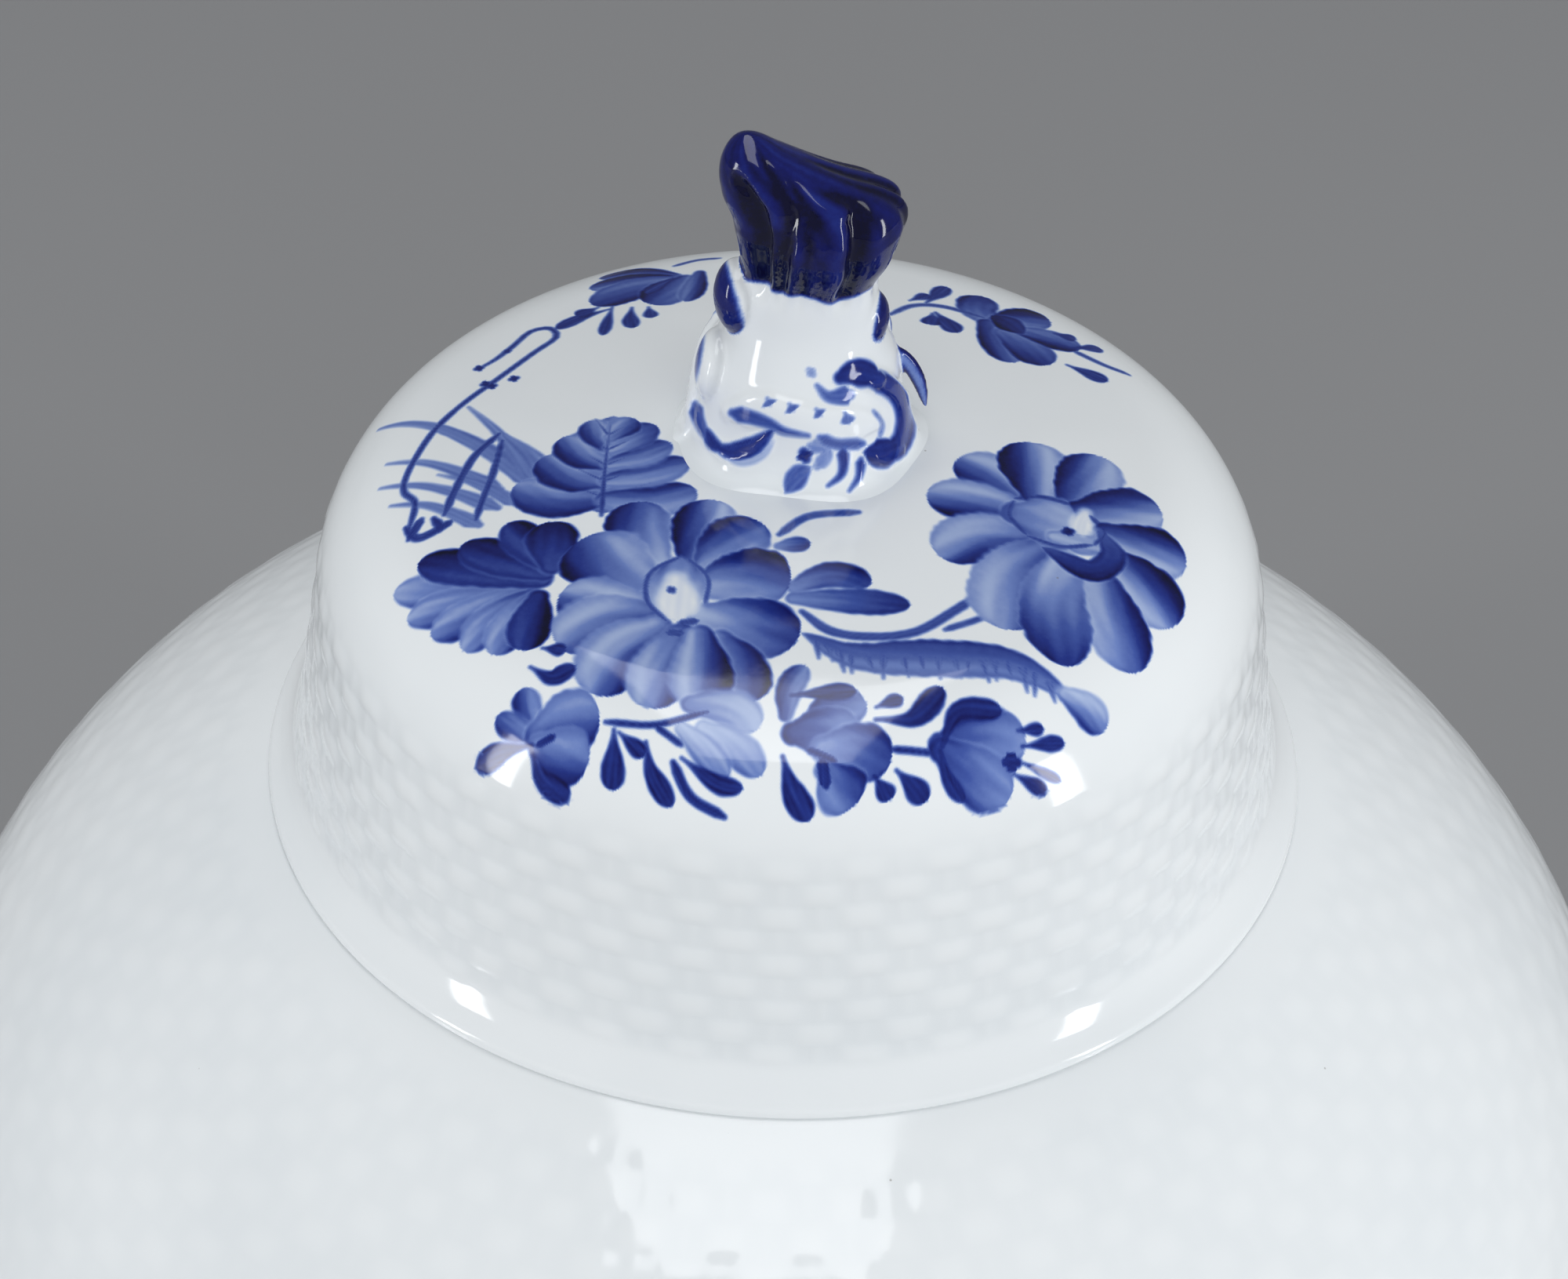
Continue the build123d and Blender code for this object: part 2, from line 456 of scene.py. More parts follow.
def paintRightFlower(painting):
    painting.strokes([
        ([(29, -9.5), (24.5, -5.5), (20.0, -3.4)], 3.7, "SW"),
        ([(28, -12), (22, -11), (16.3, -10.6)], 3.6, "S"),
        ([(30, -8.5), (29.8, -3), (29.3, 2.2)], 4.2, "W"),
        ([(34, -9.5), (36.3, -4.5), (38.4, 1.2)], 3.9, "W"),
        ([(35.5, -10.5), (40.5, -9.3), (45.6, -8.2)], 4.1, "NW"),
        ([(38.5, -14), (43.6, -15.6), (48.6, -16.4)], 4.0, "N"),
        ([(29, -16.5), (22.6, -17.4), (17.6, -21.5)], 3.9, "SE"),
        ([(39, -18.5), (43, -22.8), (46.8, -26.8)], 4.5, "NE"),
        ([(31, -18.5), (26.6, -24), (25.6, -33)], 4.6, "E"),
        ([(37, -22), (38.4, -28.5), (42, -35.2)], 4.1, "E"),
        ([(33, -20), (31.4, -28), (33, -37.2)], 3.9, "S"),
    ])
    painting.stroke([(27.5, -12.5), (34.5, -13.5)], 4.3, "W", kind="petal", tone=(0.20, 0.46))
    painting.stroke([(32, -16), (38, -16.4)], 2.2, tone=(0.18, 0.30))
    painting.stroke([(35.9, -10.6), (35.4, -12.8), (35.4, -15.0)], 1.3, tone=(0.02, 0.05), soft=1.6, edge=0)
    painting.stroke([(37.4, -13.5), (39.0, -18), (36, -21.2), (30.4, -18.2)], 1.9, "S", "leaf", (0.45, 0.86))
    painting.strokes([
        ([(27.2, -9.6), (30.5, -8.7), (34.2, -9.4)], 0.45),
        ([(27, -10.2), (26.4, -13), (28.4, -16.2)], 0.42),
        ([(28.4, -16.4), (32.6, -17.6), (36.4, -16.6)], 0.38),
        ([(36.8, -16.4), (38.2, -14), (36.6, -11.2)], 0.4),
    ], kind="line", tone=(0.54, 0.70), over=False)
    painting.stroke([(33.2, -14.8), (34.0, -14.5)], 0.7, kind="line", tone=(0.75, 0.9))


def paintLeftFlower(painting):
    painting.strokes([
        ([(-16, -24), (-18.3, -19), (-18.7, -13.6)], 3.7, "NW"),
        ([(-11.8, -24), (-10.6, -18.5), (-9.6, -13.4)], 3.6, "W"),
        ([(-10, -25.5), (-7, -21), (-3.8, -17.4)], 3.7, "N"),
        ([(-17, -28), (-21.2, -25), (-25.2, -20.2)], 4.9, "W"),
        ([(-10, -28.5), (-4.8, -27.2), (0, -27.6)], 4.6, "NE"),
        ([(-18, -31.4), (-22.6, -31.2), (-27.2, -29.6)], 3.7, "S"),
        ([(-16.5, -33.4), (-22, -34.2), (-26.8, -38)], 4.1, "SE"),
        ([(-10, -33.5), (-4, -35.2), (1, -37.2)], 4.3, "E"),
        ([(-15.5, -35.6), (-19.8, -39), (-22, -45.2)], 4.0, "SE"),
        ([(-8, -37.5), (-5.6, -42), (-4.8, -47)], 3.3, "E"),
        ([(-12.6, -36.5), (-14.6, -42), (-16, -47.3)], 3.5, "E"),
        ([(-10.4, -36.8), (-10, -42), (-9.6, -47.8)], 3.4, "E"),
    ])
    painting.stroke([(-13.2, -23.6), (-13.4, -28.6), (-13.4, -34.2)], 3.6, "N", "leaf", (0.04, 0.52))
    painting.stroke([(-13.6, -27.6), (-12.8, -34)], 2.2, kind="petal", tone=(0.02, 0.04), soft=2.2, edge=0)
    painting.strokes([
        ([(-12.8, -23.4), (-16.6, -26.4), (-16.8, -31), (-14.2, -34.6)], 0.36),
        ([(-12.6, -23.6), (-9.8, -27.2), (-9.9, -31.6)], 0.32),
        ([(-14.2, -29.0), (-13.8, -29.6)], 0.5),
        ([(-12.8, -34.8), (-10.8, -34.4)], 0.55),
        ([(-14.2, -36.2), (-12.4, -36.4)], 0.6),
    ], kind="line", tone=(0.52, 0.66), over=False)


def paintVeinedLeaf(painting):
    painting.stroke([(-22.8, -15.6), (-23, -8), (-22.8, 3.8)], 7.6, kind="leaf", tone=(0.42, 0.50))
    painting.strokes([
        ([(-23.6, -13), (-29, -13), (-34, -9.2)], 2.9, "S"),
        ([(-23.6, -9.5), (-27.4, -8.4), (-31.2, -4.2)], 2.7, "SW"),
        ([(-23.5, -6), (-26.2, -4.2), (-28.8, -0.2)], 2.4, "SW"),
        ([(-23.4, -2.6), (-24.6, 0), (-25.4, 3.2)], 1.9, "SW"),
        ([(-22.6, -13), (-17, -13.6), (-11.8, -11.6)], 2.9, "N"),
        ([(-22.6, -9.4), (-18, -8.4), (-13, -5.8)], 2.4, "N"),
        ([(-22.6, -6.2), (-19, -4.8), (-15.3, -2.2)], 2.0, "N"),
        ([(-22.7, -3), (-20.2, -1), (-17.4, 1.6)], 2.1, "NE"),
        ([(-22.8, -0.6), (-21.6, 1.2), (-20.2, 3.2)], 1.9, "E"),
    ], tone=(0.26, 0.76))
    painting.stroke([(-23.1, -16), (-23.2, -7), (-23.1, 2.6)], 0.42, "", "taper", (0.66, 0.76), over=False)
    for lift in range(5):  # a vein to each side
        root = -12.5 + 3.1 * lift
        painting.strokes([
            ([(-23.2, root), (-28.6 + 0.9 * lift, root + 3.4)], 0.24),
            ([(-23.1, root), (-17.4 - 0.8 * lift, root + 2.4)], 0.24),
        ], kind="taper", tone=(0.62, 0.72), over=False)


def paintShellLeaf(painting):
    painting.strokes([
        ([(-31, -27), (-39, -27.5), (-48.6, -25)], 2.5, "SE"),
        ([(-31, -28), (-38.6, -29.6), (-46.6, -29.6)], 2.4, "SE"),
        ([(-31, -29), (-37, -31.6), (-43.2, -33)], 2.4, "SE"),
        ([(-30.6, -29.6), (-35, -33), (-38.8, -36.4)], 2.4, "E"),
        ([(-30.2, -30), (-32.6, -34), (-35, -37.8)], 2.4, "E"),
    ], tone=(0.22, 0.90))
    painting.strokes([
        ([(-29.8, -30), (-30.4, -34), (-31, -38)], 2.5, "E"),
        ([(-29.6, -27), (-37.6, -24.4), (-45.2, -21.8)], 2.7, "N"),
        ([(-29.4, -25.8), (-35, -22.8), (-39.8, -20)], 2.6, "N"),
        ([(-29, -24.4), (-32, -20), (-34.5, -16.6)], 2.4, "NE"),
        ([(-28.4, -24.6), (-28.8, -20), (-29.4, -16.8)], 2.9, "N"),
    ], tone=(0.62, 0.98))


def paintGrasses(painting):
    painting.strokes([
        ([(-31, -10), (-38, -2), (-45, 4), (-54.5, 9.5)], 1.8),
        ([(-36, -10), (-44, -4.2), (-51.5, -1)], 1.4),
        ([(-36, -13.5), (-44, -8.6), (-52, -5.6)], 1.35),
        ([(-38, -16.5), (-44, -12.2), (-50, -10)], 1.3),
        ([(-32, -8), (-37, 1.4), (-41.5, 8)], 1.4),
        ([(-30, -8), (-33, -3), (-36.2, 1)], 1.9),
        ([(-33.5, -13), (-39, -8.5), (-44, -6)], 1.2),
    ], kind="taper", tone=(0.28, 0.48), edge=0.05)
    painting.strokes([
        ([(-42, 9.5), (-45.5, 3.5), (-48, -4), (-48.3, -8), (-46.5, -11), (-47, -16)], 0.42),
        ([(-37, 1.5), (-39.8, -3), (-41.5, -9), (-42.5, -14)], 0.5),
        ([(-36.5, 0), (-37, -6), (-38, -12), (-38.5, -15.5)], 0.45),
        ([(-47.4, -15), (-45.6, -17.4), (-43, -16.4), (-43.8, -14.4)], 0.62),
        ([(-45.4, -14.2), (-46.8, -17.2)], 0.6),
        ([(-43.4, -17), (-41.6, -15.4)], 0.55),
        ([(-45, 5), (-41.5, 10), (-38.5, 13.8), (-34, 20), (-31.5, 23.5), (-32.5, 26), (-35, 25.5), (-37, 22),
          (-39, 19), (-41, 17)], 0.38),
    ], kind="line", tone=(0.55, 0.78), over=False)
    dots = ((-41, 17, 0.7), (-37.7, 20.7, 0.5), (-39.8, 13, 0.7), (-38.9, 12.3, 0.65), (-36.2, 13.7, 0.7))
    for x, y, size in dots:
        painting.stroke([(x - 0.3, y), (x + 0.3, y + 0.2)], size, kind="line", tone=(0.7, 0.85), over=False)


def paintBackSprays(painting):
    painting.strokes([
        ([(-16.5, 39.5), (-22, 41.4), (-27, 40.6)], 1.6, "N"),
        ([(-16.6, 38.8), (-22.5, 38.6), (-28, 36.8)], 2.0, "N"),
        ([(-16.6, 38.2), (-22, 36), (-27.4, 32)], 2.7, "S"),
        ([(-15.2, 38.5), (-17.5, 35), (-19.6, 31.4)], 2.9, "W"),
        ([(-13.5, 40.5), (-14, 36), (-15, 32)], 1.5, "E"),
        ([(25, 30.5), (23.6, 34), (24.2, 37.8)], 2.6, "N"),
        ([(26, 30.5), (29.6, 32.4), (33.4, 33)], 2.9, "N"),
        ([(24.6, 30), (26, 25), (28, 20.4)], 2.3, "W"),
        ([(27, 28), (30, 24.4), (32.6, 21)], 2.7, "S"),
        ([(29, 29.2), (33, 28), (37, 26.4)], 2.2, "S"),
    ], tone=(0.40, 0.88))
    painting.stroke([(25.4, 32.4), (27.6, 30.6), (29.6, 28.4)], 2.0, "W", kind="leaf", tone=(0.72, 0.98))
    painting.strokes([
        ([(-17, 39), (-18.6, 37), (-20.4, 34.6)], 1.0),
        ([(-25, 30.4), (-28.6, 28.4), (-31.6, 25.8)], 1.1),
        ([(-26.5, 31), (-29.2, 29)], 1.2),
        ([(-24.6, 31), (-25, 27), (-25.4, 23.4)], 0.8),
        ([(-22, 30.6), (-22, 27.6), (-21.6, 25)], 1.1),
        ([(-19.8, 30.6), (-19.3, 27.6)], 0.95),
        ([(16.8, 34.2), (18.4, 37), (19.6, 39.6)], 1.3),
        ([(14.6, 34.4), (17.2, 36.6)], 0.9),
        ([(17.6, 31.2), (17.4, 28)], 1.5),
        ([(18, 31.6), (20.8, 26.6)], 1.4),
        ([(33.8, 29.6), (36.6, 29)], 0.95),
        ([(36.2, 26.4), (40.2, 28)], 1.0),
        ([(35, 21.6), (40.2, 19)], 1.2),
    ], kind="drop", tone=(0.55, 0.85))
    painting.strokes([
        ([(-17, 43), (-14, 45), (-11, 45.6)], 0.35),
        ([(12, 30), (15, 33), (19, 33.5), (24.5, 31.5)], 0.42),
        ([(36, 25.6), (40, 23.2), (43.4, 22.4)], 0.38),
    ], kind="line", tone=(0.5, 0.7), over=False)


def paintStems(painting):
    painting.strokes([
        ([(0.5, -28.5), (5, -26.2), (9.6, -27.2)], 2.0, "NE"),
        ([(0.5, -30.4), (7, -30.4), (14.2, -30.4)], 1.9, "E"),
        ([(-1.5, -21.6), (2.2, -20.8)], 1.2, "E"),
    ], tone=(0.34, 0.86))
    painting.strokes([
        ([(-1.5, -19.5), (2, -16), (8, -14.8)], 0.55),
        ([(1.5, -32.5), (5, -35.5), (10, -36), (15, -34.7), (19.5, -30.8), (22.5, -27.6)], 0.6),
        ([(18.4, -34), (22, -32), (24.4, -30.2)], 0.42),
    ], kind="line", tone=(0.48, 0.66), over=False)
    quill = [(1.6, -36), (8, -39.2), (18, -38.6), (26, -38.4), (34, -41.4)]
    painting.stroke(quill, 2.9, "N", kind="leaf", tone=(0.34, 0.66))
    spine = softLine(quill, 40)
    for index in range(3, 36, 2):  # barbs under the long leaf
        x, y = spine[index]
        drop, lean = 2.7 + 0.5 * math.sin(index * 2.1), 0.5 + 0.5 * math.sin(index * 1.3)
        painting.stroke([(x, y + 0.4), (x + lean, y - drop)], 0.75, "", "taper", (0.40, 0.56), over=False)
    painting.stroke([(33, -41), (36, -42), (38.8, -43.8)], 2.1, "S", tone=(0.14, 0.66))


def paintFrontRow(painting):
    painting.strokes([  # two pansies, a pale flower between them and a bud
        ([(-29.6, -48.5), (-30.6, -45.6), (-31, -43)], 1.7, "W"),
        ([(-30.2, -49), (-32.8, -47.4), (-34.8, -45.8)], 1.5, "W"),
        ([(-29.4, -49), (-25.6, -48), (-21.8, -47.4)], 3.6, "S"),
        ([(-29.4, -50.4), (-26.2, -52), (-23.4, -53.2)], 3.1, "S"),
        ([(0, -48.4), (0.4, -44.6), (2, -41)], 1.5, "W"),
        ([(3, -49), (6.2, -47), (9.2, -46)], 2.5, "W"),
        ([(1, -50.6), (5, -50.2), (8.6, -50.6)], 2.9, "W"),
        ([(4.6, -52.4), (8.6, -52.2), (12.4, -53)], 3.2, "E"),
        ([(5, -54.8), (7, -57), (8.6, -58.4)], 3.0, "E"),
        ([(18.5, -50.5), (24, -48.6), (28.6, -48.4)], 3.5, "W"),
        ([(18.5, -51), (23.4, -53.4), (27.8, -54.8)], 3.3, "W"),
    ], tone=(0.30, 0.74))
    painting.strokes([
        ([(-11, -47), (-6.5, -47.5), (-3, -50)], 2.3, "W"),
        ([(-9.5, -50), (-5.5, -52.5), (-2.6, -55.6)], 1.9, "S"),
        ([(-12, -50), (-9, -53), (-6.6, -56)], 1.6, "S"),
    ], tone=(0.16, 0.42))
    painting.strokes([
        ([(-30.2, -40.4), (-27.5, -42.2), (-24.8, -41)], 1.15),
        ([(-28.8, -38), (-26, -38.6)], 0.9),
        ([(-30.4, -50), (-34.8, -50), (-39, -51.2)], 1.5),
        ([(-30.6, -50.6), (-29.6, -54.2), (-26.4, -57.0)], 1.6),
        ([(-20, -49.6), (-20.2, -53), (-20.6, -56.6)], 1.5),
        ([(-19.4, -50), (-16.4, -53)], 1.0),
        ([(-16.2, -51.4), (-15.6, -55), (-13.4, -59)], 1.25),
        ([(0.6, -45.6), (4.4, -45), (8, -44.4)], 1.2),
        ([(-0.2, -53.4), (1, -57), (3.2, -60.6)], 1.6),
        ([(10.6, -55), (12.8, -57.4)], 1.2),
        ([(13.2, -54), (17.2, -57)], 1.5),
        ([(10.4, -48.2), (15, -47.4), (18, -43)], 1.5),
        ([(10.4, -46.6), (13.4, -45)], 0.9),
        ([(18.4, -50.4), (20, -46), (25.2, -44.8)], 1.5),
        ([(18.2, -51), (19.4, -54), (21.8, -56.4)], 0.95),
        ([(28.2, -48.6), (33.6, -46.8)], 0.95),
        ([(27.4, -46.9), (30.6, -45.9)], 0.8),
        ([(28, -50.4), (34.2, -51.3)], 0.6),
        ([(27.6, -52), (32.6, -53.1)], 0.95),
        ([(-12, -53.5), (-8, -56.5), (-4.8, -57.2)], 1.1),
    ], kind="drop", tone=(0.60, 0.90))
    painting.strokes([
        ([(-13, -54), (-11, -58), (-7, -60.4)], 0.55),
        ([(12.4, -51.6), (18, -51.4)], 0.4),
        ([(4.4, -53.6), (5, -56.6)], 0.75),
        ([(2.6, -52.4), (6, -53.6)], 0.45),
        ([(-29.8, -50.2), (-27.4, -49.4)], 0.5),
        ([(26.4, -50.9), (27.8, -50.6)], 1.15),
        ([(-21, -48.6), (-15, -49.4), (-9, -48)], 0.35),
        ([(-15, -49.6), (-12, -52)], 0.35),
    ], kind="line", tone=(0.62, 0.86), over=False)


def paintLid(x, y):
    painting = Painting(x, y)
    paintGrasses(painting)
    paintVeinedLeaf(painting)
    paintShellLeaf(painting)
    paintBackSprays(painting)
    paintStems(painting)
    paintRightFlower(painting)
    paintLeftFlower(painting)
    paintFrontRow(painting)
    print(f"painting: {painting.count} strokes")
    return np.clip(painting.blue, 0, 1)


# basket weave

def weaveTree(material):
    # lifts a surface into strands that pass over and under upright stakes
    tree = bpy.data.node_groups.new("basket weave", "GeometryNodeTree")
    face = tree.interface
    face.new_socket("Geometry", in_out="INPUT", socket_type="NodeSocketGeometry")
    settings = ("Relief", "Strand Width", "Stake Height", "Unevenness", "Pool And Shade", "Seed")
    for name in settings:
        face.new_socket(name, in_out="INPUT", socket_type="NodeSocketFloat")
    face.new_socket("Geometry", in_out="OUTPUT", socket_type="NodeSocketGeometry")
    maker = Nodes(tree)
    given = tree.nodes.new("NodeGroupInput")
    made = tree.nodes.new("NodeGroupOutput")
    relief, strandWidth, stakeHeight, unevenness, poolingAndShade, seed = [
        Socket(maker, given.outputs[name]) for name in settings
    ]

    def kept(name, kind="FLOAT"):
        return maker.node("GeometryNodeInputNamedAttribute", {"data_type": kind}, name)

    def sine(angle):
        return angle.math("SINE", angle)

    place = maker.node("GeometryNodeInputPosition", {})
    noise = maker.node("ShaderNodeTexNoise", {"noise_dimensions": "4D"}, place, seed, Scale=60.0, Detail=1.0)
    handmade = (noise - 0.5) * unevenness
    column = kept("column") + handmade * 0.9
    row = kept("row") + handmade * 0.55
    rowNumber = row.math("FLOOR", row)
    across = row - rowNumber
    swing = sine((column + rowNumber + 0.5) * math.pi) * 0.5 + 0.5
    strand = swing.spread(1 - strandWidth, 1.35 - strandWidth * 0.5)
    roundness = row.math("POWER", sine(across * math.pi), 0.62)
    stake = row.math("ABSOLUTE", row.math("FRACT", column + 0.5) - 0.5)
    upright = (1 - stake.spread(0.05, 0.17)) * stakeHeight * (0.35 + roundness * 0.4)
    lift = row.math("MAXIMUM", strand * roundness, upright)
    height = lift * kept("woven") * relief
    outward = maker.node(
        "ShaderNodeVectorMath", {"operation": "SCALE"}, kept("outward", "FLOAT_VECTOR"), Scale=height
    )
    moved = maker.node("GeometryNodeSetPosition", {}, Socket(maker, given.outputs[0]), Offset=outward)
    # the hollows between strands are stored darker: glaze pooled there, and painted shade
    pooledAndShaded = maker.node(
        "GeometryNodeStoreNamedAttribute", {"data_type": "FLOAT", "domain": "POINT"}, moved, Name="pool",
        Value=kept("pool") + (1 - lift) * kept("woven") * poolingAndShade,
    )
    solid = maker.node("GeometryNodeRealizeInstances", {}, pooledAndShaded)
    glazed = maker.node("GeometryNodeSetMaterial", {}, solid, Material=material)
    tree.links.new(glazed.output, made.inputs[0])
    return tree


def weave(piece, tree, look):
    modifier = piece.modifiers.new("weave", "NODES")
    modifier.node_group = tree
    named = {item.name: item.identifier for item in tree.interface.items_tree if item.in_out == "INPUT"}
    for name, value in look.items():
        modifier[named[name]] = float(value)
    shaped = piece.evaluated_get(bpy.context.evaluated_depsgraph_get())
    woven = bpy.data.meshes.new_from_object(shaped)
    piece.modifiers.remove(modifier)
    piece.data = woven
    woven.name = piece.name
    for layer in ("column", "row", "woven", "outward"):
        woven.attributes.remove(woven.attributes[layer])
    woven.shade_smooth()
    woven.set_sharp_from_angle(angle=math.radians(50))
    return piece


def bareClay(points):
    # 1 where the glaze is wiped off: the foot's edge and the flat faces on which the lid rests
    radius, height = np.hypot(points[:, 0], points[:, 1]), points[:, 2]
    foot = (height < 0.35) & (radius > bowlLook["footInside"] - 0.2)
    inside, outside = bowlLook["bareSeat"]
    seat = (abs(height - seatHeight) < 0.02) & (radius > inside) & (radius < outside)
    return (foot | seat).astype(float)


def plainRings(mesh, section):
    for radius, height in section:
        mesh.ring(radius, height, 1 if radius < 0.01 else int(np.clip(radius * 2.2, 24, 240)))


def flatMap(points, outline):
    # millimetres round the knob, with lengths along the surface kept true
    radius = np.hypot(points[:, 0], points[:, 1])
    reach = np.interp(radius, outline[:, 0], along(outline))
    return reach * points[:, 0] / np.maximum(radius, 1e-6), reach * points[:, 1] / np.maximum(radius, 1e-6)


def paintedBand(name, look, outline, inner, first, last):
    # painted rings and a plain inner face; each ring has six points more than the one before,
    # so that they stay evenly spaced
    length = along(outline)
    mesh = RingMesh()
    for ring in range(first, last + 1):
        reach = ring * look["paintStep"]
        radius, height = np.interp(reach, length, outline[:, 0]), np.interp(reach, length, outline[:, 1])
        mesh.ring(radius if ring else 0.0, height + seatHeight, max(6 * ring, 1))
    outer = mesh.total
    share = along(inner)[-1] / length[-1]
    inside = resample(inner, first * look["paintStep"] * share, last * look["paintStep"] * share, 2.5)
    plainRings(mesh, inside[::-1] + (0, seatHeight))
    if first:
        mesh.closeLoop()
    points, triangles = mesh.arrays()
    onTop = np.arange(len(points)) < outer
    x, y = flatMap(points, outline)
    # a darker ring on the lid round the knob's foot: pooled glaze, and painted shade where knob and lid meet
    offFoot = (np.hypot(x - 1, y - 1) - look["footPoolAndShadeRadius"]) / look["footPoolAndShadeSpread"]
    pool = look["footPoolAndShade"] * np.exp(-(offFoot**2)) * onTop
    blue = paintLid(x, y) * onTop
    return makeMesh(name, points, triangles, cobalt=blue, pool=pool, bare=np.zeros(len(points)))


def wovenBand(name, tree, look, before, outside, after, seed, painted=None):
    # before, outside and after are one section, in order; outside also holds row numbers and the
    # depth of the weave, and painted is the outline on which the blue is laid out
    count = look["stakes"] * look["columnSteps"]
    mesh = RingMesh()
    plainRings(mesh, before)
    start = mesh.total
    for radius, height in outside[:, :2]:
        mesh.ring(radius, height, count)
    end = mesh.total
    plainRings(mesh, after)
    if len(before) == 0:
        mesh.closeLoop()
    points, triangles = mesh.arrays()
    angle = np.arange(count) / count * 2 * np.pi
    slope = np.gradient(outside[:, :2], axis=0)
    slope = slope / np.hypot(*slope.T)[:, None]
    outward = np.zeros((len(points), 3))
    outward[start:end, 0] = (-slope[:, 1:] * np.cos(angle)).ravel()
    outward[start:end, 1] = (-slope[:, 1:] * np.sin(angle)).ravel()
    outward[start:end, 2] = np.repeat(slope[:, 0], count)
    column, row, woven, blue, nothing = np.zeros((5, len(points)))
    if painted is not None:
        blue[start:end] = paintLid(*[side[start:end] for side in flatMap(points, painted)])
    column[start:end] = np.tile(angle / (2 * np.pi) * look["stakes"], len(outside))
    row[start:end] = np.repeat(outside[:, 2], count)
    woven[start:end] = np.repeat(outside[:, 3], count)
    bare = bareClay(points)
    layers = {"column": column, "row": row, "woven": woven, "cobalt": blue, "pool": nothing, "bare": bare}
    piece = makeMesh(name, points, triangles, **layers)
    kept = piece.data.attributes.new("outward", "FLOAT_VECTOR", "POINT")
    kept.data.foreach_set("vector", outward.astype(np.float32).ravel())
    return weave(piece, tree, {**look["weave"], "Seed": seed})


def wovenSection(outline, start, look):
    # ring by ring down an outline: radius, height, row number, depth of the weave
    steps = look["rows"] * look["rowSteps"]
    end = start + look["rows"] * look["rowHeight"]
    section = resample(outline, start, end, look["rowHeight"] / look["rowSteps"])
    rows = np.linspace(0, look["rows"], steps + 1)
    depth = smooth(0, look["fadeIn"], rows) * smooth(look["rows"], look["rows"] - look["fadeOut"], rows)
    return np.column_stack([section[: steps + 1], rows, depth])


lidLook = {
    "rise": 50.6,  # crown above the seat, were it not for the knob
    "domeRadius": 266.0,
    "shoulder": 19.0,
    "wallFoot": (64.3, 4.1),  # where the woven wall meets the flange
    "wallTop": 57.9,  # radius where wall and dome would cross
    "flangeEdge": 1.2,
    "fillet": 8.6,  # radius of the hollow between wall and flange
    "thickness": 4.0,
    "ringOutside": 57.2,  # the locating ring under the lid
    "ringInside": 53.2,
    "ringDepth": 9.0,
    "paintStep": 0.22,  # spacing of the painted points
    "bands": [("lidCrown", 178), ("lidField", 248), ("lidShoulder", 282)],  # piece and its last painted ring
    "footPoolAndShade": 0.6,  # thicker glaze and painted shade in a ring round the knob's foot
    "footPoolAndShadeRadius": 14.6,
    "footPoolAndShadeSpread": 2.4,
    "stakes": 76,
    "columnSteps": 10,
    "rows": 10,
    "rowHeight": 3.3,
    "rowSteps": 8,
    "fadeIn": 2.4,
    "fadeOut": 0.5,
    "rimStep": 0.22,
    "weave": {
        "Relief": 0.21 * mm, "Strand Width": 0.76, "Stake Height": 0.40, "Unevenness": 0.7, "Pool And Shade": 0.42,
    },
}


def lidOutline(look, inset=0.0):
    # dome, shoulder and wall in section, or the same drawn inset from them; heights are above the seat
    foot = np.array(look["wallFoot"])
    domeMiddle = np.array([0, look["rise"] - look["domeRadius"]])
    domeHeight = domeMiddle[1] + math.sqrt(look["domeRadius"] ** 2 - look["wallTop"] ** 2)
    crossing = np.array([look["wallTop"], domeHeight])
    wallWay = (crossing - foot) / np.hypot(*(crossing - foot))
    inward = np.array([-wallWay[1], wallWay[0]])
    start = foot + inward * look["shoulder"] - domeMiddle
    reach = (look["domeRadius"] - look["shoulder"]) ** 2
    climb = -start @ wallWay + math.sqrt((start @ wallWay) ** 2 - start @ start + reach)
    middle = start + domeMiddle + wallWay * climb
    fromDome = math.degrees(math.atan2(*(middle - domeMiddle)[::-1]))
    fromWall = math.degrees(math.atan2(-inward[1], -inward[0]))
    dome = arcPoints(domeMiddle, [look["domeRadius"] - inset] * 2, 90, fromDome, 180)
    shoulder = arcPoints(middle, [look["shoulder"] - inset] * 2, fromDome, fromWall, 90)
    return np.vstack([dome, shoulder[1:], foot + inward * inset])


